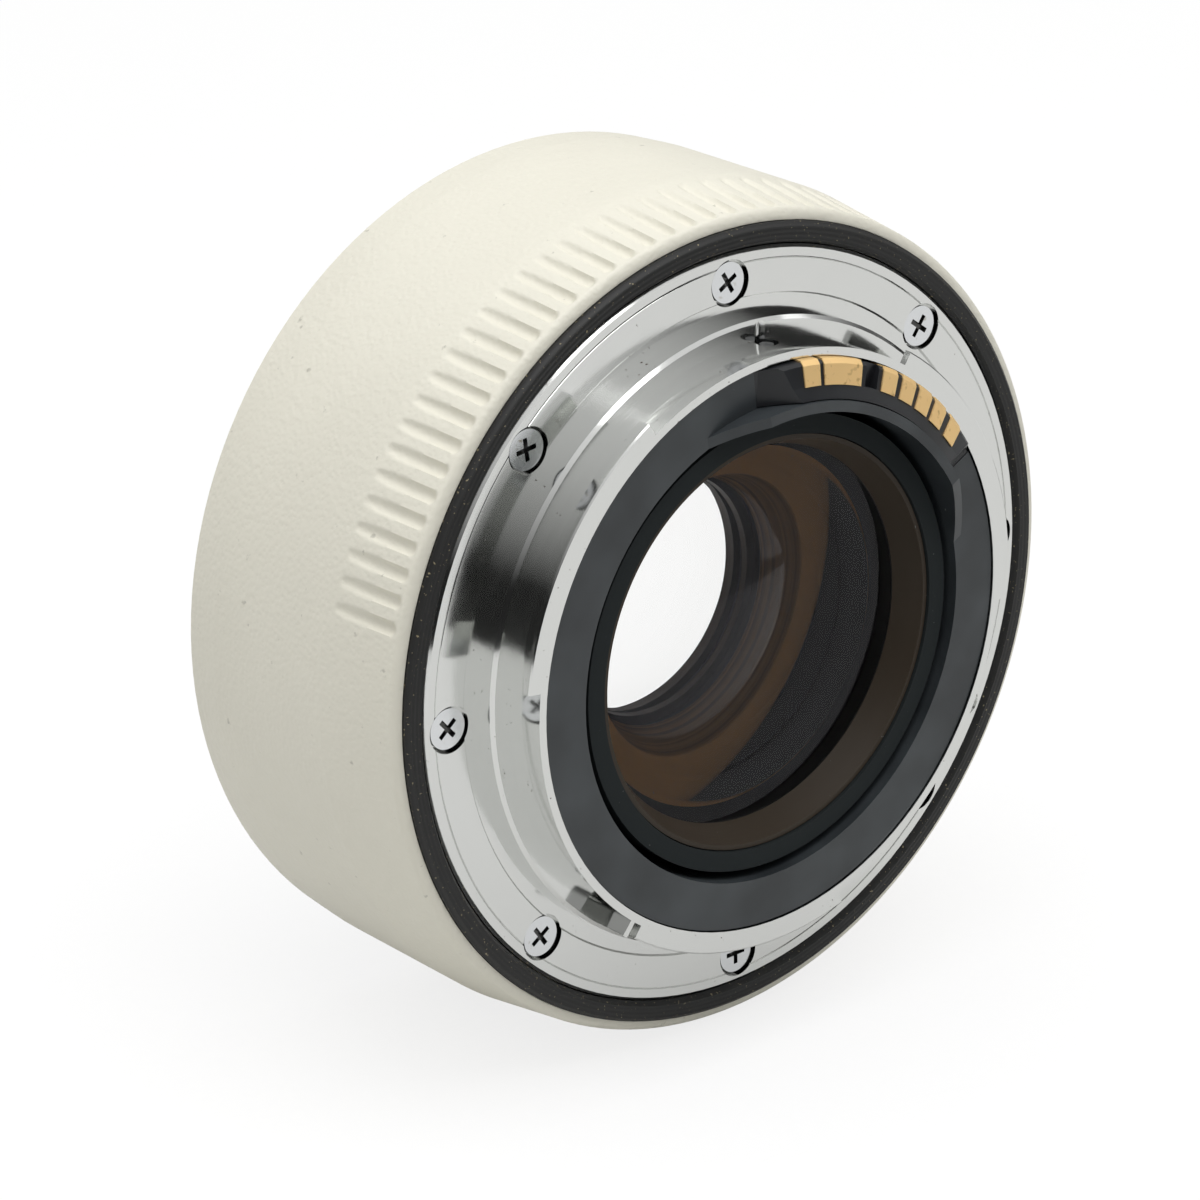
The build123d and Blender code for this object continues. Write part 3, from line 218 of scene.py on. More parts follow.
class Finish:
    """A real finish. Each kind lays its own pattern on a surface."""

    name: str

    def lay(self, surface: Surface) -> None:
        """Lay the finish on a surface.

        Args:
            surface: Surface that takes the finish.
        """
        raise NotImplementedError

    def material(self) -> bpy.types.Material:
        """Give the finish's material, made on its first use.

        Returns:
            The material, shared by all pieces in this finish.
        """
        if self.name not in MATERIALS:
            surface = Surface(self.name)
            self.lay(surface)
            MATERIALS[self.name] = surface.material
        return MATERIALS[self.name]


@dataclass(frozen=True)
class TexturedEnamel(Finish):
    """Baked enamel sprayed in fine drops: the eye sees a soft warm white with an orange-peel grain."""

    name: str = "textured_enamel"
    color: str = "#e4e1d3"
    shade: str = "#e0ddcf"
    # On the enamel this is only the colour of worn specks.
    wear_and_painted_glint: str = "#c2bfb2"
    roughness: float = 0.5
    drop_mm: float = 0.45
    drop_height_mm: float = 0.05
    grit_mm: float = 0.855
    grit_height_mm: float = 0.06
    tone_mm: float = 14.0
    speck_mm: float = 1.1
    scuff_turn: tuple[float, float, float] = (0.3, 0.2, 0.9)
    scuff_stretch: tuple[float, float, float] = (60.0, 900.0, 160.0)
    scuff_polish: float = 0.12

    def lay(self, surface: Surface) -> None:
        """Lay drops, finer grit, faint uneven tone and a few hairline scuffs.

        Args:
            surface: Surface that takes the finish.
        """
        tone = surface.cloud(self.tone_mm, low=0.3, high=0.8)
        base = surface.mixed(tone, self.color, self.shade)
        specks = surface.cloud(self.speck_mm, detail=4.0, low=0.7, high=0.76)
        surface.feed("Base Color", surface.mixed(specks, base, self.wear_and_painted_glint))
        stretch = surface.add("ShaderNodeMapping",
                              {"Rotation": self.scuff_turn, "Scale": self.scuff_stretch},
                              {"Vector": surface.place})
        scuffs = surface.add("ShaderNodeTexNoise", {"Scale": 1.0, "Detail": 2.0},
                             {"Vector": stretch.outputs[0]})
        fine = surface.add("ShaderNodeMapRange", {"From Min": 0.74, "From Max": 0.8},
                           {"Value": scuffs.outputs[0]}).outputs[0]
        rough = surface.add("ShaderNodeMapRange",
                            {"To Min": self.roughness, "To Max": self.roughness - self.scuff_polish},
                            {"Value": fine})
        surface.feed("Roughness", rough.outputs[0])
        drops = surface.add("ShaderNodeTexVoronoi",
                            {"feature": "SMOOTH_F1", "Scale": 1 / (self.drop_mm * MM), "Smoothness": 0.9},
                            {"Vector": surface.place})
        surface.engrave(drops.outputs[0], self.drop_height_mm)
        surface.engrave(surface.cloud(self.grit_mm, detail=3.0), self.grit_height_mm)


@dataclass(frozen=True)
class TurnedChrome(Finish):
    """Turned brass under bright chrome: rings from the lathe draw the reflections into radial fans."""

    name: str = "turned_chrome"
    color: str = "#dcdddb"
    roughness: float = 0.1
    ring_mm: float = 0.35
    ring_height_mm: float = 0.0006
    brushed: float = 0.4
    grime: str = "#4a3d2c"
    grime_mm: float = 0.4
    patch_mm: float = 7.0
    rub_mm: float = 4.0
    grime_roughness: float = 0.4

    def lay(self, surface: Surface) -> None:
        """Lay lathe rings, rubbed patches and brown grime that collects here and there.

        Args:
            surface: Surface that takes the finish.
        """
        surface.shader.inputs["Metallic"].default_value = 1.0
        surface.shader.inputs["Anisotropic"].default_value = self.brushed
        outwards = surface.add("ShaderNodeVectorMath", {"operation": "MULTIPLY", 1: (1, 0, 1)},
                               {0: surface.place})
        unit = surface.add("ShaderNodeVectorMath", {"operation": "NORMALIZE"}, {0: outwards.outputs[0]})
        surface.feed("Tangent", unit.outputs[0])
        grime = surface.cloud(self.grime_mm, detail=4.0, low=0.7, high=0.73)
        patches = surface.cloud(self.patch_mm, low=0.45, high=0.62)
        spots = surface.add("ShaderNodeMath", {"operation": "MULTIPLY"}, {0: grime, 1: patches})
        surface.feed("Base Color", surface.mixed(spots.outputs[0], self.color, self.grime))
        rubbed = surface.cloud(self.rub_mm, detail=4.0, low=0.3, high=0.7)
        rough = surface.add("ShaderNodeMapRange",
                            {"To Min": self.roughness - 0.02, "To Max": self.roughness + 0.04},
                            {"Value": rubbed})
        both = surface.add("ShaderNodeMath", {"operation": "MULTIPLY_ADD", 1: self.grime_roughness},
                           {0: spots.outputs[0], 2: rough.outputs[0]})
        surface.feed("Roughness", both.outputs[0])
        surface.engrave(surface.turning_marks(self.ring_mm, detail=1.0), self.ring_height_mm)


@dataclass(frozen=True)
class SatinNickel(Finish):
    """Nickel-plated steel, barrel polished: a soft even sheen with faint tool marks."""

    name: str = "satin_nickel"
    color: str = "#e0e2e4"
    roughness: float = 0.16
    mark_mm: float = 0.5
    mark_height_mm: float = 0.0005
    stain: str = "#a39c8c"
    stain_mm: float = 0.7
    # Colour of the painted shade that darkens a screw's recess.
    recess: str = "#4d4d4c"
    painted_shade_from_mm: Optional[float] = None
    painted_shade_fade_mm: float = 0.12

    def lay(self, surface: Surface) -> None:
        """Lay tool marks, a little staining and, on a screw, painted shade in its recess.

        Args:
            surface: Surface that takes the finish.
        """
        surface.shader.inputs["Metallic"].default_value = 1.0
        stains = surface.cloud(self.stain_mm, detail=3.0, low=0.66, high=0.8)
        base = surface.mixed(stains, self.color, self.stain)
        # On a screw, points deeper than the given depth are painted darker: painted shade in the recess.
        if self.painted_shade_from_mm is not None:
            depth = surface.add("ShaderNodeSeparateXYZ", links={0: surface.place}).outputs[1]
            recess_shade_share = surface.add("ShaderNodeMapRange",
                               {"From Min": self.painted_shade_from_mm * MM,
                                "From Max": (self.painted_shade_from_mm + self.painted_shade_fade_mm) * MM},
                               {"Value": depth}).outputs[0]
            base = surface.mixed(recess_shade_share, base, self.recess)
        surface.feed("Base Color", base)
        marks = surface.cloud(self.mark_mm, detail=4.0)
        rough = surface.add("ShaderNodeMapRange",
                            {"To Min": self.roughness - 0.03, "To Max": self.roughness + 0.05},
                            {"Value": marks})
        surface.feed("Roughness", rough.outputs[0])
        surface.engrave(marks, self.mark_height_mm)


@dataclass(frozen=True)
class MouldedPlastic(Finish):
    """Glass-filled polycarbonate, moulded with a fine spark-eroded grain: dark with a soft sheen."""

    name: str = "moulded_polycarbonate"
    color: str = "#2b2f32"
    light: str = "#3c4144"
    roughness: float = 0.36
    grain_mm: float = 0.16
    grain_height_mm: float = 0.004
    flow_mm: float = 6.0
    dust: str = "#8b8c88"
    dust_mm: float = 0.35

    def lay(self, surface: Surface) -> None:
        """Lay the mould's grain, a faint flow of tone and a few dust specks.

        Args:
            surface: Surface that takes the finish.
        """
        flow = surface.cloud(self.flow_mm, low=0.35, high=0.7)
        base = surface.mixed(flow, self.color, self.light)
        dust = surface.cloud(self.dust_mm, low=0.77, high=0.8)
        surface.feed("Base Color", surface.mixed(dust, base, self.dust))
        grain = surface.cloud(self.grain_mm, detail=3.0)
        rough = surface.add("ShaderNodeMapRange",
                            {"To Min": self.roughness - 0.05, "To Max": self.roughness + 0.08},
                            {"Value": grain})
        surface.feed("Roughness", rough.outputs[0])
        surface.engrave(grain, self.grain_height_mm)


@dataclass(frozen=True)
class BlackAnodised(Finish):
    """Anodised aluminium, turned and bead blasted: nearly black, with rings where the tool ran."""

    name: str = "blasted_anodising"
    color: str = "#15161a"
    roughness: float = 0.42
    ring_mm: float = 0.3
    ring_height_mm: float = 0.012
    blast_mm: float = 0.22
    blast_height_mm: float = 0.012
    gloss: float = 0.6
    # The bore's tan and its darker rings are painted light: glints and warm reflex, not the anodising's
    # colour.
    bore_painted_glint: Optional[str] = None
    bore_painted_dark: str = "#2e2115"
    bore_mm: float = 0.0
    bore_ring_mm: float = 0.7
    dust: str = "#6f716e"
    dust_mm: float = 0.3

    def lay(self, surface: Surface) -> None:
        """Lay rings, blasting and light dust specks, and paint tan glint rings and warm reflex into the
        bore.

        Args:
            surface: Surface that takes the finish.
        """
        surface.shader.inputs["Specular IOR Level"].default_value = self.gloss
        base: Any = self.color
        # In the bore the black turns tan with lathe rings: painted glints of lit ring edges and painted warm
        # reflex.
        if self.bore_painted_glint:
            inside = surface.add("ShaderNodeMath", {"operation": "LESS_THAN", 1: self.bore_mm * MM},
                                 {0: surface.axis_distance()}).outputs[0]
            wear_and_painted_glint = surface.mixed(surface.turning_marks(self.bore_ring_mm), self.bore_painted_dark, self.bore_painted_glint)
            base = surface.mixed(inside, self.color, wear_and_painted_glint)
        dust = surface.cloud(self.dust_mm, low=0.765, high=0.79)
        surface.feed("Base Color", surface.mixed(dust, base, self.dust))
        surface.shader.inputs["Roughness"].default_value = self.roughness
        surface.engrave(surface.turning_marks(self.ring_mm, detail=2.0), self.ring_height_mm)
        surface.engrave(surface.cloud(self.blast_mm, detail=3.0), self.blast_height_mm)


@dataclass(frozen=True)
class NitrileRubber(Finish):
    """Moulded nitrile rubber: matt black, ribbed all round, with dust caught in the ribs."""

    name: str = "nitrile_rubber"
    color: str = "#121212"
    painted_crest_highlight: str = "#1c1c1b"
    dust: str = "#8f8468"
    roughness: float = 0.55
    rib_mm: float = 0.4
    rib_height_mm: float = 0.02
    dust_mm: float = 0.26
    skin_mm: float = 0.15
    skin_height_mm: float = 0.01

    def lay(self, surface: Surface) -> None:
        """Lay the ribs, their crests painted lighter as painted highlight, the dust and a fine skin.

        Args:
            surface: Surface that takes the finish.
        """
        ribs = surface.add("ShaderNodeMath",
                           {"operation": "MULTIPLY", 1: 2 * math.pi / (self.rib_mm * MM)},
                           {0: surface.axis_distance()})
        wave = surface.add("ShaderNodeMath", {"operation": "SINE"}, {0: ribs.outputs[0]})
        height = surface.add("ShaderNodeMapRange", {"From Min": -1.0, "From Max": 1.0},
                             {"Value": wave.outputs[0]}).outputs[0]
        dust = surface.cloud(self.dust_mm, detail=3.0, low=0.66, high=0.7)
        # Rib crests are painted lighter than the valleys: painted highlight and shade of the ribs.
        tone = surface.mixed(height, self.color, self.painted_crest_highlight)
        surface.feed("Base Color", surface.mixed(dust, tone, self.dust))
        surface.shader.inputs["Roughness"].default_value = self.roughness
        surface.engrave(height, self.rib_height_mm)
        surface.engrave(surface.cloud(self.skin_mm, detail=3.0), self.skin_height_mm)


@dataclass(frozen=True)
class PlatedGold(Finish):
    """Hard gold over nickel, flashed on stamped strip: warm and bright, dulled where it was rubbed."""

    name: str = "plated_gold"
    color: str = "#ffd999"
    tarnish: str = "#b98f55"
    roughness: float = 0.5
    metallic: float = 0.6
    tarnish_mm: float = 0.7
    rub_mm: float = 0.22
    rub_height_mm: float = 0.0012

    def lay(self, surface: Surface) -> None:
        """Lay tarnish and light rub marks across the strip, over a matt underlay that shows a little.

        Args:
            surface: Surface that takes the finish.
        """
        surface.shader.inputs["Metallic"].default_value = self.metallic
        tarnish = surface.cloud(self.tarnish_mm, detail=3.0, low=0.6, high=0.8)
        surface.feed("Base Color", surface.mixed(tarnish, self.color, self.tarnish))
        rubs = surface.cloud(self.rub_mm, detail=3.0)
        rough = surface.add("ShaderNodeMapRange",
                            {"To Min": self.roughness - 0.04, "To Max": self.roughness + 0.06},
                            {"Value": rubs})
        surface.feed("Roughness", rough.outputs[0])
        surface.engrave(rubs, self.rub_height_mm)


@dataclass(frozen=True)
class CoatedGlass(Finish):
    """Optical glass, polished and coated in layers: clear, and the coats swallow most reflections."""

    name: str = "multicoated_glass"
    index: float = 1.5
    coat: str = "#3a3840"
    tint: str = "#ffffff"
    dust: str = "#7c7f80"
    dust_mm: float = 0.16

    def lay(self, surface: Surface) -> None:
        """Set clear glass, a coat that takes most of the reflection, and a trace of dust.

        Args:
            surface: Surface that takes the finish.
        """
        shader = surface.shader.inputs
        shader["Transmission Weight"].default_value = 1.0
        shader["IOR"].default_value = self.index
        shader["Roughness"].default_value = 0.0
        shader["Specular Tint"].default_value = srgb(self.coat)
        dust = surface.cloud(self.dust_mm, low=0.8, high=0.82)
        surface.feed("Base Color", surface.mixed(dust, self.tint, self.dust))


@dataclass(frozen=True)
class EdgeBlack(Finish):
    """Matt lacquer brushed on the ground rims of the glass, so that no light comes in sideways."""

    name: str = "edge_black"
    color: str = "#0c0c0e"
    light: str = "#191a1c"
    roughness: float = 0.65
    streak_mm: float = 0.4
    streak_height_mm: float = 0.01

    def lay(self, surface: Surface) -> None:
        """Lay the brush's fine streaks.

        Args:
            surface: Surface that takes the finish.
        """
        streaks = surface.cloud(self.streak_mm, detail=4.0)
        surface.feed("Base Color", surface.mixed(streaks, self.color, self.light))
        surface.shader.inputs["Roughness"].default_value = self.roughness
        surface.engrave(streaks, self.streak_height_mm)


@dataclass(frozen=True)
class RedEnamel(Finish):
    """Red enamel dropped into a recess and cured: glossy, with a slightly domed skin."""

    name: str = "red_enamel"
    color: str = "#b3190f"
    light: str = "#c62a1c"
    roughness: float = 0.18
    swell_mm: float = 0.9
    swell_height_mm: float = 0.02

    def lay(self, surface: Surface) -> None:
        """Lay a slow swell of height and tone.

        Args:
            surface: Surface that takes the finish.
        """
        swell = surface.cloud(self.swell_mm)
        surface.feed("Base Color", surface.mixed(swell, self.color, self.light))
        surface.shader.inputs["Roughness"].default_value = self.roughness
        surface.engrave(swell, self.swell_height_mm)


@dataclass(frozen=True)
class PolyimideFlex(Finish):
    """Etched copper under polyimide film: amber and glossy, with fine parallel tracks."""

    name: str = "polyimide_flex"
    color: str = "#b06a1c"
    track: str = "#c98a45"
    track_mm: float = 0.5
    track_height_mm: float = 0.02
    roughness: float = 0.22

    def lay(self, surface: Surface) -> None:
        """Lay the tracks along the strip.

        Args:
            surface: Surface that takes the finish.
        """
        waves = surface.add("ShaderNodeTexWave", {"Scale": 1 / (3 * self.track_mm * MM)},
                            {"Vector": surface.place})
        sharp = surface.add("ShaderNodeMapRange", {"From Min": 0.4, "From Max": 0.6},
                            {"Value": waves.outputs[1]}).outputs[0]
        surface.feed("Base Color", surface.mixed(sharp, self.color, self.track))
        surface.shader.inputs["Roughness"].default_value = self.roughness
        surface.engrave(sharp, self.track_height_mm)


@dataclass(frozen=True)
class SolderMask(Finish):
    """Glass-epoxy board under green solder mask: satin, with tracks that show through."""

    name: str = "solder_mask"
    color: str = "#14432c"
    track: str = "#2a6b45"
    roughness: float = 0.35
    cell_mm: float = 1.6
    track_height_mm: float = 0.02

    def lay(self, surface: Surface) -> None:
        """Lay the runs of tracks under the mask.

        Args:
            surface: Surface that takes the finish.
        """
        cells = surface.add("ShaderNodeTexVoronoi",
                            {"feature": "DISTANCE_TO_EDGE", "Scale": 1 / (self.cell_mm * MM)},
                            {"Vector": surface.place})
        tracks = surface.add("ShaderNodeMapRange",
                             {"From Min": 0.05, "From Max": 0.09, "To Min": 1.0, "To Max": 0.0},
                             {"Value": cells.outputs[0]}).outputs[0]
        surface.feed("Base Color", surface.mixed(tracks, self.color, self.track))
        surface.shader.inputs["Roughness"].default_value = self.roughness
        surface.engrave(tracks, self.track_height_mm)


@dataclass(frozen=True)
class EpoxyPackage(Finish):
    """Transfer-moulded epoxy of a chip's package: matt black with a sandy skin."""

    name: str = "epoxy_package"
    color: str = "#191919"
    light: str = "#262626"
    roughness: float = 0.6
    sand_mm: float = 0.1
    sand_height_mm: float = 0.01

    def lay(self, surface: Surface) -> None:
        """Lay the sandy skin.

        Args:
            surface: Surface that takes the finish.
        """
        sand = surface.cloud(self.sand_mm, detail=3.0)
        surface.feed("Base Color", surface.mixed(sand, self.color, self.light))
        surface.shader.inputs["Roughness"].default_value = self.roughness
        surface.engrave(sand, self.sand_height_mm)


@dataclass
class Piece:
    """A CAD node and the finish that it gets, and how far its edges are broken, if they are."""

    node: str
    finish: Finish
    bevel_mm: Optional[float] = None
    merge_mm: float = 0.0005
    edge_angle: float = 28.0

    def dress(self) -> bpy.types.Object:
        """Give the node its finish, on itself or on a copy with broken edges.

        Returns:
            The object that shows.
        """
        solid = frame["nodes"][self.node]
        shown = solid if self.bevel_mm is None else self.reworked(solid)
        shown.data.materials.clear()
        shown.data.materials.append(self.finish.material())
        log.info("%s in %s", shown.name, self.finish.name)
        return shown

    def reworked(self, solid: bpy.types.Object) -> bpy.types.Object:
        """Copy a node, merge its loose triangles, and break its edges.

        Args:
            solid: The CAD node's object.

        Returns:
            The copy, which stands for the node.
        """
        shape = bmesh.new()
        shape.from_mesh(solid.data)
        bmesh.ops.remove_doubles(shape, verts=shape.verts, dist=self.merge_mm * MM)
        bmesh.ops.dissolve_degenerate(shape, dist=self.merge_mm * MM, edges=shape.edges)
        mesh = bpy.data.meshes.new(f"{self.node}_finished")
        shape.to_mesh(mesh)
        shape.free()
        copy = placed(mesh, solid["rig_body"])
        mesh.shade_smooth()
        mesh.set_sharp_from_angle(angle=math.radians(self.edge_angle))
        bevel = copy.modifiers.new("broken_edges", "BEVEL")
        bevel.width = self.bevel_mm * MM
        bevel.segments = 2
        bevel.limit_method = "ANGLE"
        bevel.angle_limit = math.radians(self.edge_angle)
        bevel.harden_normals = True
        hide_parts(self.node)
        return copy


def placed(mesh: bpy.types.Mesh, body: str) -> bpy.types.Object:
    """Put a mesh in the scene at the origin, riding on a body.

    Args:
        mesh: Mesh whose place is in its points.
        body: Name of the CAD body.

    Returns:
        The new object.
    """
    made = bpy.data.objects.new(mesh.name, mesh)
    bpy.context.scene.collection.objects.link(made)
    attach(made, body)
    return made


class Swell(Enum):
    """Which way a face of glass goes from its rim to its middle, seen from outside."""

    OUT = 1
    IN = -1


@dataclass
class GlassFace:
    """One face of a glass: its rim's place on the axis, its swell, its curve and its clear radius."""

    rim: float
    swell: Swell
    curve: float
    clear: float

    def heights(self, steps: int) -> list[tuple[float, float]]:
        """List points from the axis to the clear radius.

        Args:
            steps: How many steps the curve takes.

        Returns:
            Pairs of radius and height above the rim.
        """
        whole = self.curve - math.sqrt(self.curve ** 2 - self.clear ** 2)
        points = []
        for number in range(steps + 1):
            radius = self.clear * number / steps
            fall = self.curve - math.sqrt(self.curve ** 2 - radius ** 2)
            points.append((radius, self.swell.value * (whole - fall)))
        return points


@dataclass
class Glass:
    """A polished glass with a blackened rim. Faces are given from the camera side, along +Y."""

    name: str
    stands_for: tuple[str, ...]
    radius: float
    rear: GlassFace
    front: GlassFace
    finish: CoatedGlass
    steps: int = 28
    turns: int = 144
    edge_angle: float = 40.0
    clear_margin: float = 0.01

    def build(self) -> bpy.types.Object:
        """Spin the glass's outline round the axis.

        Returns:
            The glass's object.
        """
        outline = [(radius, self.rear.rim - height) for radius, height in self.rear.heights(self.steps)]
        outline.append((self.radius, self.rear.rim))
        outline.append((self.radius, self.front.rim))
        back = [(radius, self.front.rim + height) for radius, height in self.front.heights(self.steps)]
        outline.extend(reversed(back))
        shape = bmesh.new()
        points = [shape.verts.new((radius * MM, place * MM, 0)) for radius, place in outline]
        edges = [shape.edges.new(pair) for pair in zip(points, points[1:])]
        bmesh.ops.spin(shape, geom=points + edges, cent=(0, 0, 0), axis=(0, 1, 0),
                       angle=2 * math.pi, steps=self.turns, use_merge=True)
        bmesh.ops.remove_doubles(shape, verts=shape.verts, dist=1e-7)
        bmesh.ops.recalc_face_normals(shape, faces=shape.faces)
        clear = {True: self.rear.clear, False: self.front.clear}
        middle = (self.rear.rim + self.front.rim) / 2 * MM
        for face in shape.faces:
            centre = face.calc_center_median()
            reach = math.hypot(centre.x, centre.z)
            face.smooth = True
            face.material_index = int(reach > (clear[centre.y < middle] + self.clear_margin) * MM)
        mesh = bpy.data.meshes.new(self.name)
        shape.to_mesh(mesh)
        shape.free()
        mesh.set_sharp_from_angle(angle=math.radians(self.edge_angle))
        mesh.materials.append(self.finish.material())
        mesh.materials.append(EdgeBlack().material())
        made = placed(mesh, "converter")
        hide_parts(*self.stands_for)
        log.info("%s in %s", made.name, self.finish.name)
        return made


@dataclass
class ScoopedGrip:
    """The grip ring with its taper and its scoops, as the photograph shows them, under thick enamel.

    Places are depths behind the flange in millimetres, and angles count from +X over +Z in degrees. The
    outline runs from the seal over the shoulder to the front, and inside holds its points from there back.
    """

    finish: TexturedEnamel
    node: str = "grip_ring"
    seal_radius: float = 34.45
    rear_radius: float = 35.4
    front_radius: float = 36.4
    face_place: float = 0.36
    shoulder: float = 0.6
    front_place: float = 8.5
    inside: tuple[tuple[float, float], ...] = ((35.4, 8.5), (35.4, 10.5), (34.4, 10.5), (34.4, 3.2),
                                               (27.2, 3.2), (27.2, 1.6), (34.45, 1.6))
    scoops: int = 60
    pitch: float = 3.5
    middle: float = 63.0
    cutter: float = 0.6
    depth: float = 0.5
    start: float = 7.6
    end: float = 1.1
    blend: float = 0.03
    deepening: float = 0.3
    closing: float = 0.5
    closing_power: float = 0.5
    shoulder_steps: int = 10
    taper_steps: int = 45
    turns: int = 1440
    edge_angle: float = 50.0

    def taper(self, place: float) -> float:
        """Give the grip's radius at a depth, scoops left out.

        Args:
            place: Depth behind the flange.

        Returns:
            The radius.
        """
        rear = self.face_place + self.shoulder
        share = (place - rear) / (self.front_place - rear)
        return self.rear_radius + (self.front_radius - self.rear_radius) * max(0.0, share)

    def outline(self) -> list[tuple[float, float]]:
        """List the closed outline that goes round the axis, as pairs of radius and depth.

        Returns:
            Points from the seal over the shoulder and the grip, then back inside.
        """
        points = []
        for number in range(self.shoulder_steps + 1):
            turn = math.pi / 2 * number / self.shoulder_steps
            points.append((self.seal_radius + (self.rear_radius - self.seal_radius) * math.sin(turn),
                           self.face_place + self.shoulder * (1 - math.cos(turn))))
        rear = self.face_place + self.shoulder
        for number in range(1, self.taper_steps + 1):
            place = rear + (self.front_place - rear) * number / self.taper_steps
            points.append((self.taper(place), place))
        return points + list(self.inside)

    def scooped(self, radius: float, angle: float, place: float) -> float:
        """Sink a point of the outer skin where a scoop runs.

        Args:
            radius: Radius of the point before.
            angle: Its angle.
            place: Its depth.

        Returns:
            Its radius after, blended softly at the scoop's edge.
        """
        first = self.middle - self.pitch * (self.scoops - 1) / 2
        turn = (angle - first + self.pitch / 2) % 360 - self.pitch / 2
        number = min(self.scoops - 1, max(0, round(turn / self.pitch)))
        aside = math.radians(turn - number * self.pitch) * radius
        if abs(aside) >= self.cutter or not self.end < place < self.start:
            return radius
        share = ((self.start - place) / (self.start - self.end)) ** self.deepening
        share *= min(1.0, (place - self.end) / self.closing) ** self.closing_power
        floor = self.taper(place) - self.depth * share
        cut = floor + self.cutter - math.sqrt(self.cutter ** 2 - aside ** 2)
        near = max(self.blend - abs(radius - cut), 0.0) / self.blend
        return min(radius, cut) - near * near * self.blend / 4

    def build(self) -> bpy.types.Object:
        """Carry the outline round the axis and sink the scoops into the skin.

        Returns:
            The grip's object.
        """
        shape = bmesh.new()
        outline = self.outline()
        skin, rings = len(outline) - len(self.inside), []
        for turn in range(self.turns):
            angle = 360 * turn / self.turns
            across, up = math.cos(math.radians(angle)) * MM, math.sin(math.radians(angle)) * MM
            ring = []
            for number, (radius, place) in enumerate(outline):
                reach = self.scooped(radius, angle, place) if number < skin else radius
                ring.append(shape.verts.new((reach * across, place * MM, reach * up)))
            rings.append(ring)
        for ring, following in zip(rings, rings[1:] + rings[:1]):
            for one, two, three, four in zip(ring, ring[1:] + ring[:1], following[1:] + following[:1],
                                             following):
                shape.faces.new((one, two, three, four))
        bmesh.ops.recalc_face_normals(shape, faces=shape.faces)
        mesh = bpy.data.meshes.new("tapered_grip")
        shape.to_mesh(mesh)
        shape.free()
        mesh.shade_smooth()
        mesh.set_sharp_from_angle(angle=math.radians(self.edge_angle))
        mesh.materials.append(self.finish.material())
        made = placed(mesh, "converter")
        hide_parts(self.node)
        log.info("%s in %s", made.name, self.finish.name)
        return made


SPRING_WIRE = SatinNickel(name="spring_wire", color="#b3b2ae", roughness=0.2)
BLOCK_PLASTIC = MouldedPlastic(name="contact_block_plastic", color="#1b1c1f", light="#26282b",
                               roughness=0.32)


@dataclass
class Barrel:
    """The painted shell with its rubber seal, its index mark and the lever in its side."""

    enamel: TexturedEnamel = TexturedEnamel()
    rubber: NitrileRubber = NitrileRubber()
    mark: RedEnamel = RedEnamel()
    lever: MouldedPlastic = MouldedPlastic(name="black_enamelled_lever", color="#101112",
                                           light="#18191a", roughness=0.3)
    lever_bevel_mm: float = 0.09

    def build(self) -> None:
        """Dress the shell and what sits in it."""
        ScoopedGrip(self.enamel).build()
        Piece("outer_barrel", self.enamel).dress()
        Piece("seal_ring", self.rubber).dress()
        Piece("rear_index", self.mark).dress()
        Piece("release_lever", self.lever, self.lever_bevel_mm).dress()


@dataclass
class Bayonets:
    """The two chrome mounts with their screws, springs, rivets and pins."""

    chrome: TurnedChrome = TurnedChrome()
    nickel: SatinNickel = SatinNickel()
    # This screw finish paints shade into the cross recess from the given depth on.
    screw: SatinNickel = SatinNickel(name="screw_nickel", painted_shade_from_mm=0.36)
    strip: SatinNickel = SatinNickel(name="spring_strip", color="#b9b8b4", roughness=0.22)
    mark: RedEnamel = RedEnamel()

    def build(self) -> None:
        """Dress the mounts and their small parts."""
        Piece("rear_mount", self.chrome).dress()
        Piece("front_mount", self.chrome).dress()
        Piece("rear_mount_screws", self.screw).dress()
        for node in ("front_mount_screws", "baffle_locating_pin", "spring_rivets", "mount_stop_pin"):
            Piece(node, self.nickel).dress()
        Piece("mount_springs", self.strip).dress()
        Piece("front_index", self.mark).dress()


@dataclass
class RearContacts:
    """The dark baffle inside the rear mount and the block with the gold lands."""

    baffle: MouldedPlastic = MouldedPlastic()
    block: MouldedPlastic = BLOCK_PLASTIC
    gold: PlatedGold = PlatedGold()
    nickel: SatinNickel = SatinNickel()
    film: PolyimideFlex = PolyimideFlex()

    def build(self) -> None:
        """Dress the baffle, the block, its lands and its flex."""
        Piece("rear_baffle", self.baffle).dress()
        Piece("rear_contact_block", self.block).dress()
        Piece("rear_contact_lands", self.gold).dress()
        Piece("rear_block_screws", self.nickel).dress()
        Piece("rear_flex", self.film).dress()


@dataclass
class FrontContacts:
    """The front block with its sprung pins and its flex."""

    block: MouldedPlastic = BLOCK_PLASTIC
    gold: PlatedGold = PlatedGold()
    wire: SatinNickel = SPRING_WIRE
    nickel: SatinNickel = SatinNickel()
    film: PolyimideFlex = PolyimideFlex()
    pins: int = 8
    extension_pins: int = 3

    def build(self) -> None:
        """Dress the block, every pin and the springs."""
        Piece("front_contact_block", self.block).dress()
        names = [f"contact_pin_{number}" for number in range(1, self.pins + 1)]
        names += [f"extension_pin_{number}" for number in range(1, self.extension_pins + 1)]
        for name in names:
            Piece(name, self.gold).dress()
        Piece("contact_springs", self.wire).dress()
        Piece("front_block_screws", self.nickel).dress()
        Piece("front_flex", self.film).dress()


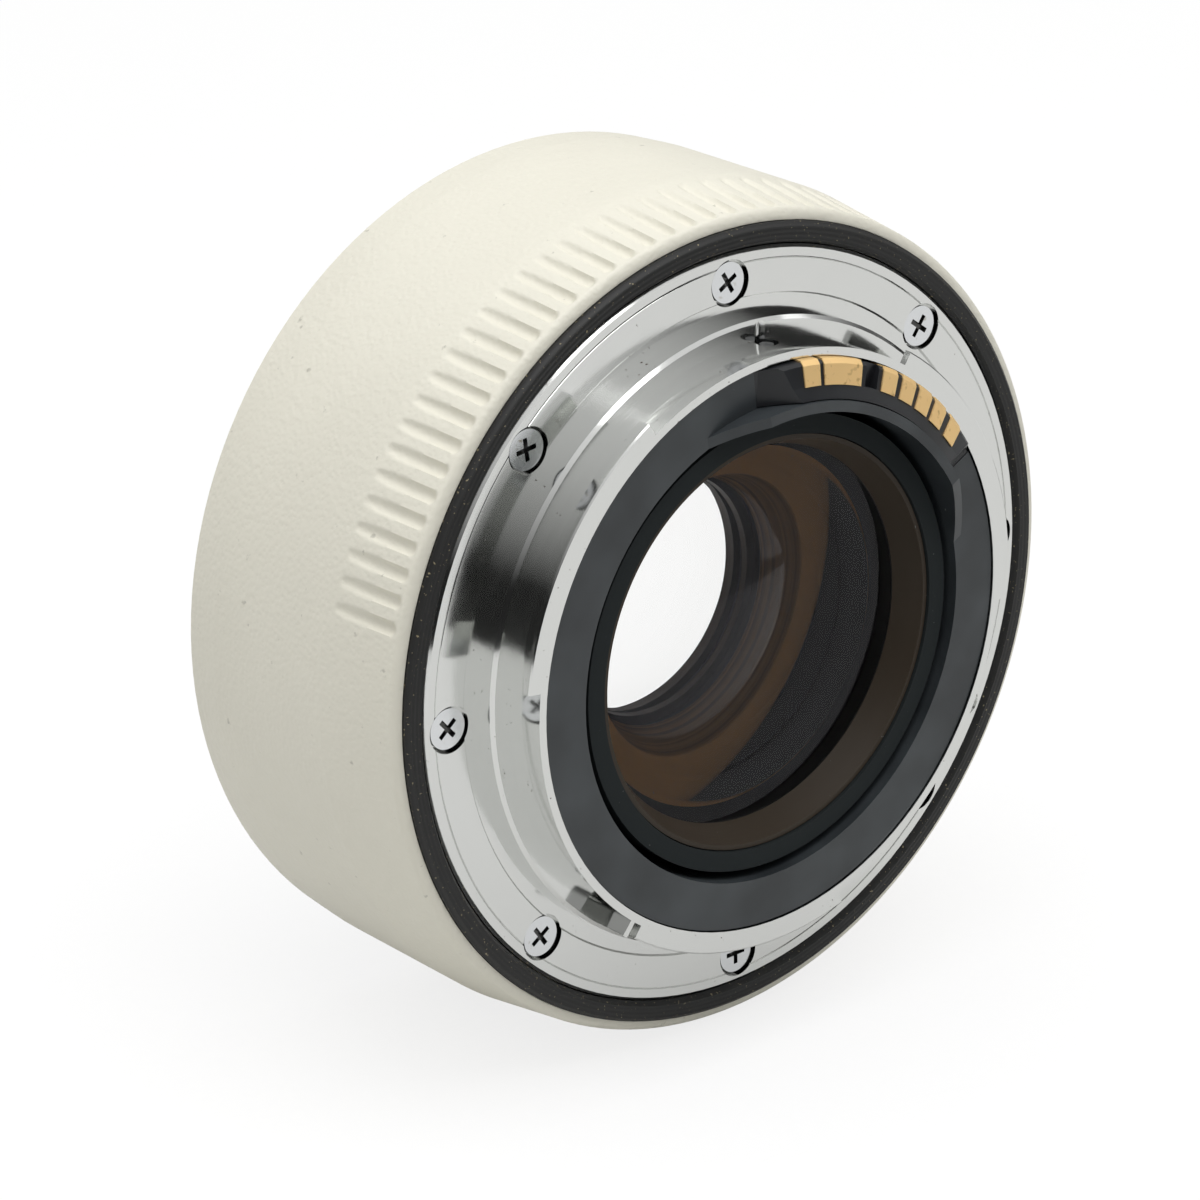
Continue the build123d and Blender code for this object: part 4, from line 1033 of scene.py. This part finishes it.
@dataclass
class LensUnit:
    """The black barrels of the lens unit, their rings and the glass."""

    # The bores of these finishes get tan rings of painted glint and painted warm reflex.
    black: BlackAnodised = BlackAnodised(name="lens_barrel_anodising", color="#292d2e", roughness=0.6,
                                         ring_mm=0.5, blast_height_mm=0.005, gloss=0.05,
                                         bore_painted_glint="#a87f50", bore_mm=17.2)
    ring: BlackAnodised = BlackAnodised(name="ring_anodising", color="#3a3229", roughness=0.45, ring_mm=0.4,
                                        ring_height_mm=0.008, blast_height_mm=0.002, gloss=0.2,
                                        bore_painted_glint="#5a4630", bore_mm=15.9)
    crown: CoatedGlass = CoatedGlass()
    dense: CoatedGlass = CoatedGlass(name="dense_coated_glass", index=1.8)

    def glasses(self) -> list[Glass]:
        """List the glasses from the camera side to the front.

        Returns:
            The four glasses, the cemented pair as one.
        """
        return [
            Glass("rear_glass", ("rear_element",), 16.9,
                  GlassFace(-1.7, Swell.OUT, 1000.0, 16.25),
                  GlassFace(3.5, Swell.IN, 47.0, 15.55), self.dense),
            Glass("inner_glass", ("inner_element",), 14.8,
                  GlassFace(12.6, Swell.OUT, 140.0, 13.4),
                  GlassFace(18.2, Swell.OUT, 600.0, 13.4), self.crown),
            Glass("cemented_glass", ("doublet_crown", "doublet_flint"), 15.8,
                  GlassFace(19.65, Swell.OUT, 120.0, 13.35),
                  GlassFace(28.6, Swell.IN, 2000.0, 14.35), self.dense),
            Glass("front_glass", ("front_element",), 17.4,
                  GlassFace(31.05, Swell.OUT, 96.0, 14.35),
                  GlassFace(33.25, Swell.OUT, 74.0, 16.15), self.dense),
        ]

    def build(self) -> None:
        """Dress the barrels and rings and spin the glasses."""
        for node in ("lens_barrel", "lens_cell"):
            Piece(node, self.black).dress()
        for node in ("rear_retaining_ring", "front_retaining_ring", "outer_spacer", "inner_spacer"):
            Piece(node, self.ring).dress()
        for glass in self.glasses():
            glass.build()


@dataclass
class Chassis:
    """The frames inside the shell with the board, the lock and their screws."""

    black: BlackAnodised = BlackAnodised()
    nickel: SatinNickel = SatinNickel()
    wire: SatinNickel = SPRING_WIRE
    board: SolderMask = SolderMask()
    package: EpoxyPackage = EpoxyPackage()

    def build(self) -> None:
        """Dress the frames, the electronics and the lock."""
        for node in ("inner_frame", "front_frame"):
            Piece(node, self.black).dress()
        for node in ("lens_barrel_screws", "board_screws", "frame_screws", "lock_pin"):
            Piece(node, self.nickel).dress()
        Piece("lock_pin_spring", self.wire).dress()
        Piece("circuit_board", self.board).dress()
        Piece("board_chips", self.package).dress()


@dataclass
class Softbox:
    """A soft lamp: its place, what it faces, its size in metres and its strength in watts."""

    name: str
    place: tuple[float, float, float]
    size: tuple[float, float]
    watts: float
    tint: str = "#ffffff"

    def hang(self) -> None:
        """Hang the lamp so that it faces the object."""
        light = bpy.data.lights.new(self.name, "AREA")
        light.shape = "RECTANGLE"
        light.size, light.size_y = self.size
        light.energy = self.watts
        light.color = srgb(self.tint)[:3]
        lamp = bpy.data.objects.new(self.name, light)
        lamp.location = self.place
        lamp.rotation_mode = "QUATERNION"
        lamp.rotation_quaternion = (-Vector(self.place)).to_track_quat("-Z", "Y")
        bpy.context.scene.collection.objects.link(lamp)


@dataclass
class Studio:
    """White ground, soft lamps and the camera of the photograph. Lengths are in metres.

    The floor ends on the camera side, where the sky's white takes over. sky_lift and room_lift each give
    where a rise in brightness starts and ends, as a share of the direction's height or depth, and the
    brightness at both.
    """

    floor_z: float = -0.0364
    floor_half: float = 2.5
    floor_end: float = 0.26
    white_share: float = 0.8
    paper: tuple[str, str] = ("#fbfbfa", "#ffffff")
    bounce: str = "#dededd"
    sky_lift: tuple[float, float, float, float] = (0.2, 0.7, 0.02, 0.8)
    room_lift: tuple[float, float, float, float] = (-0.1, 0.35, 0.0, 0.38)
    sensor_mm: float = 36.0
    lens_mm: float = 141.49
    near: float = 0.01
    far: float = 20.0
    place: tuple[float, float, float] = (-0.2417, -0.2685, 0.1449)
    forward: tuple[float, float, float] = (0.601, 0.7102, -0.3668)
    up: tuple[float, float, float] = (0.237, 0.28, 0.9303)
    lamps: tuple[Softbox, ...] = (
        Softbox("top_softbox", (-0.1, -0.15, 0.75), (0.7, 0.7), 4.0),
        Softbox("left_softbox", (-0.8, 0.25, 0.35), (0.5, 0.7), 0.3),
        Softbox("right_softbox", (0.75, -0.35, 0.3), (0.4, 0.6), 0.6),
    )

    def build(self) -> None:
        """Lay the floor, hang the lamps and the sky, and set up the camera."""
        self.lay_floor()
        for lamp in self.lamps:
            lamp.hang()
        self.paint_sky()
        self.set_camera()
        bpy.context.scene.view_settings.view_transform = "Standard"

    def lay_floor(self) -> None:
        """Lay a white floor that shows white to the camera and through glass, and keeps the shadow."""
        shape = bmesh.new()
        middle = (0, self.floor_half - self.floor_end, self.floor_z)
        bmesh.ops.create_grid(shape, x_segments=1, y_segments=1, size=self.floor_half,
                              matrix=Matrix.Translation(middle))
        mesh = bpy.data.meshes.new("studio_floor")
        shape.to_mesh(mesh)
        shape.free()
        floor = bpy.data.objects.new("studio_floor", mesh)
        bpy.context.scene.collection.objects.link(floor)
        material = bpy.data.materials.new("white_paper")
        material.use_nodes = True
        tree = material.node_tree
        tree.nodes.clear()
        grain = add_node(tree, "ShaderNodeTexNoise", {"Scale": 900.0, "Detail": 2.0},
                         {"Vector": add_node(tree, "ShaderNodeTexCoord").outputs["Object"]})
        light, white = map(srgb, self.paper)
        tone = add_node(tree, "ShaderNodeMix", {"data_type": "RGBA", 6: light, 7: white},
                        {0: grain.outputs[0]})
        path = add_node(tree, "ShaderNodeLightPath").outputs
        dull = add_node(tree, "ShaderNodeMix", {"data_type": "RGBA", 6: srgb(self.bounce)},
                        {0: path["Is Camera Ray"], 7: tone.outputs[2]})
        paper = add_node(tree, "ShaderNodeBsdfDiffuse", links={"Color": dull.outputs[2]})
        glow = add_node(tree, "ShaderNodeEmission", {"Color": (1, 1, 1, 1), "Strength": 1.0})
        share = add_node(tree, "ShaderNodeMath", {"operation": "MULTIPLY", 1: self.white_share},
                         {0: self.seen(tree)})
        both = add_node(tree, "ShaderNodeMixShader",
                        links={0: share.outputs[0], 1: paper.outputs[0], 2: glow.outputs[0]})
        add_node(tree, "ShaderNodeOutputMaterial", links={"Surface": both.outputs[0]})
        mesh.materials.append(material)

    def seen(self, tree: bpy.types.NodeTree) -> bpy.types.NodeSocket:
        """Tell rays that draw a picture of the ground from rays that light the object.

        Args:
            tree: Node tree that takes the nodes.

        Returns:
            One for camera rays and for rays that go straight through the glass, zero for others.
        """
        path = add_node(tree, "ShaderNodeLightPath").outputs
        bounces = add_node(tree, "ShaderNodeMath", {"operation": "ADD"},
                           {0: path["Diffuse Depth"], 1: path["Glossy Depth"]})
        straight = add_node(tree, "ShaderNodeMath", {"operation": "LESS_THAN", 1: 0.5},
                            {0: bounces.outputs[0]})
        through = add_node(tree, "ShaderNodeMath", {"operation": "MULTIPLY"},
                           {0: path["Is Transmission Ray"], 1: straight.outputs[0]})
        return add_node(tree, "ShaderNodeMath", {"operation": "MAXIMUM"},
                        {0: path["Is Camera Ray"], 1: through.outputs[0]}).outputs[0]

    def paint_sky(self) -> None:
        """Paint a white backdrop for the camera and glass, and a studio that is dark at eye level."""
        world = bpy.data.worlds.new("studio_sky")
        bpy.context.scene.world = world
        world.use_nodes = True
        tree = world.node_tree
        tree.nodes.clear()
        way = add_node(tree, "ShaderNodeTexCoord").outputs["Generated"]
        height = add_node(tree, "ShaderNodeSeparateXYZ", links={0: way})
        ends = ("From Min", "From Max", "To Min", "To Max")
        lift = add_node(tree, "ShaderNodeMapRange", dict(zip(ends, self.sky_lift)),
                        {"Value": height.outputs[2]})
        room = add_node(tree, "ShaderNodeMapRange", dict(zip(ends, self.room_lift)),
                        {"Value": height.outputs[1]})
        level = add_node(tree, "ShaderNodeMath", {"operation": "MAXIMUM"},
                         {0: lift.outputs[0], 1: room.outputs[0]})
        dim = add_node(tree, "ShaderNodeBackground", {"Color": (1, 1, 1, 1)}, {"Strength": level.outputs[0]})
        white = add_node(tree, "ShaderNodeBackground", {"Color": (1, 1, 1, 1), "Strength": 1.0})
        both = add_node(tree, "ShaderNodeMixShader",
                        links={0: self.seen(tree), 1: dim.outputs[0], 2: white.outputs[0]})
        add_node(tree, "ShaderNodeOutputWorld", links={"Surface": both.outputs[0]})

    def set_camera(self) -> None:
        """Stand the camera where the photograph was taken."""
        data = bpy.data.cameras.new("photograph_camera")
        data.sensor_width, data.lens = self.sensor_mm, self.lens_mm
        data.clip_start, data.clip_end = self.near, self.far
        camera = bpy.data.objects.new("photograph_camera", data)
        forward, up = Vector(self.forward).normalized(), Vector(self.up)
        right = forward.cross(up).normalized()
        up = right.cross(forward)
        turn = Matrix((right, up, -forward)).transposed()
        camera.matrix_world = Matrix.Translation(self.place) @ turn.to_4x4()
        bpy.context.scene.collection.objects.link(camera)
        bpy.context.scene.camera = camera


def main() -> None:
    """Dress every sub-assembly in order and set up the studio."""
    logging.basicConfig(level=logging.INFO, format="%(name)s: %(message)s")
    for assembly in (Chassis(), LensUnit(), FrontContacts(), Bayonets(), RearContacts(), Barrel()):
        assembly.build()
        log.info("%s done", type(assembly).__name__)
    Studio().build()


if __name__ == "__main__":
    main()
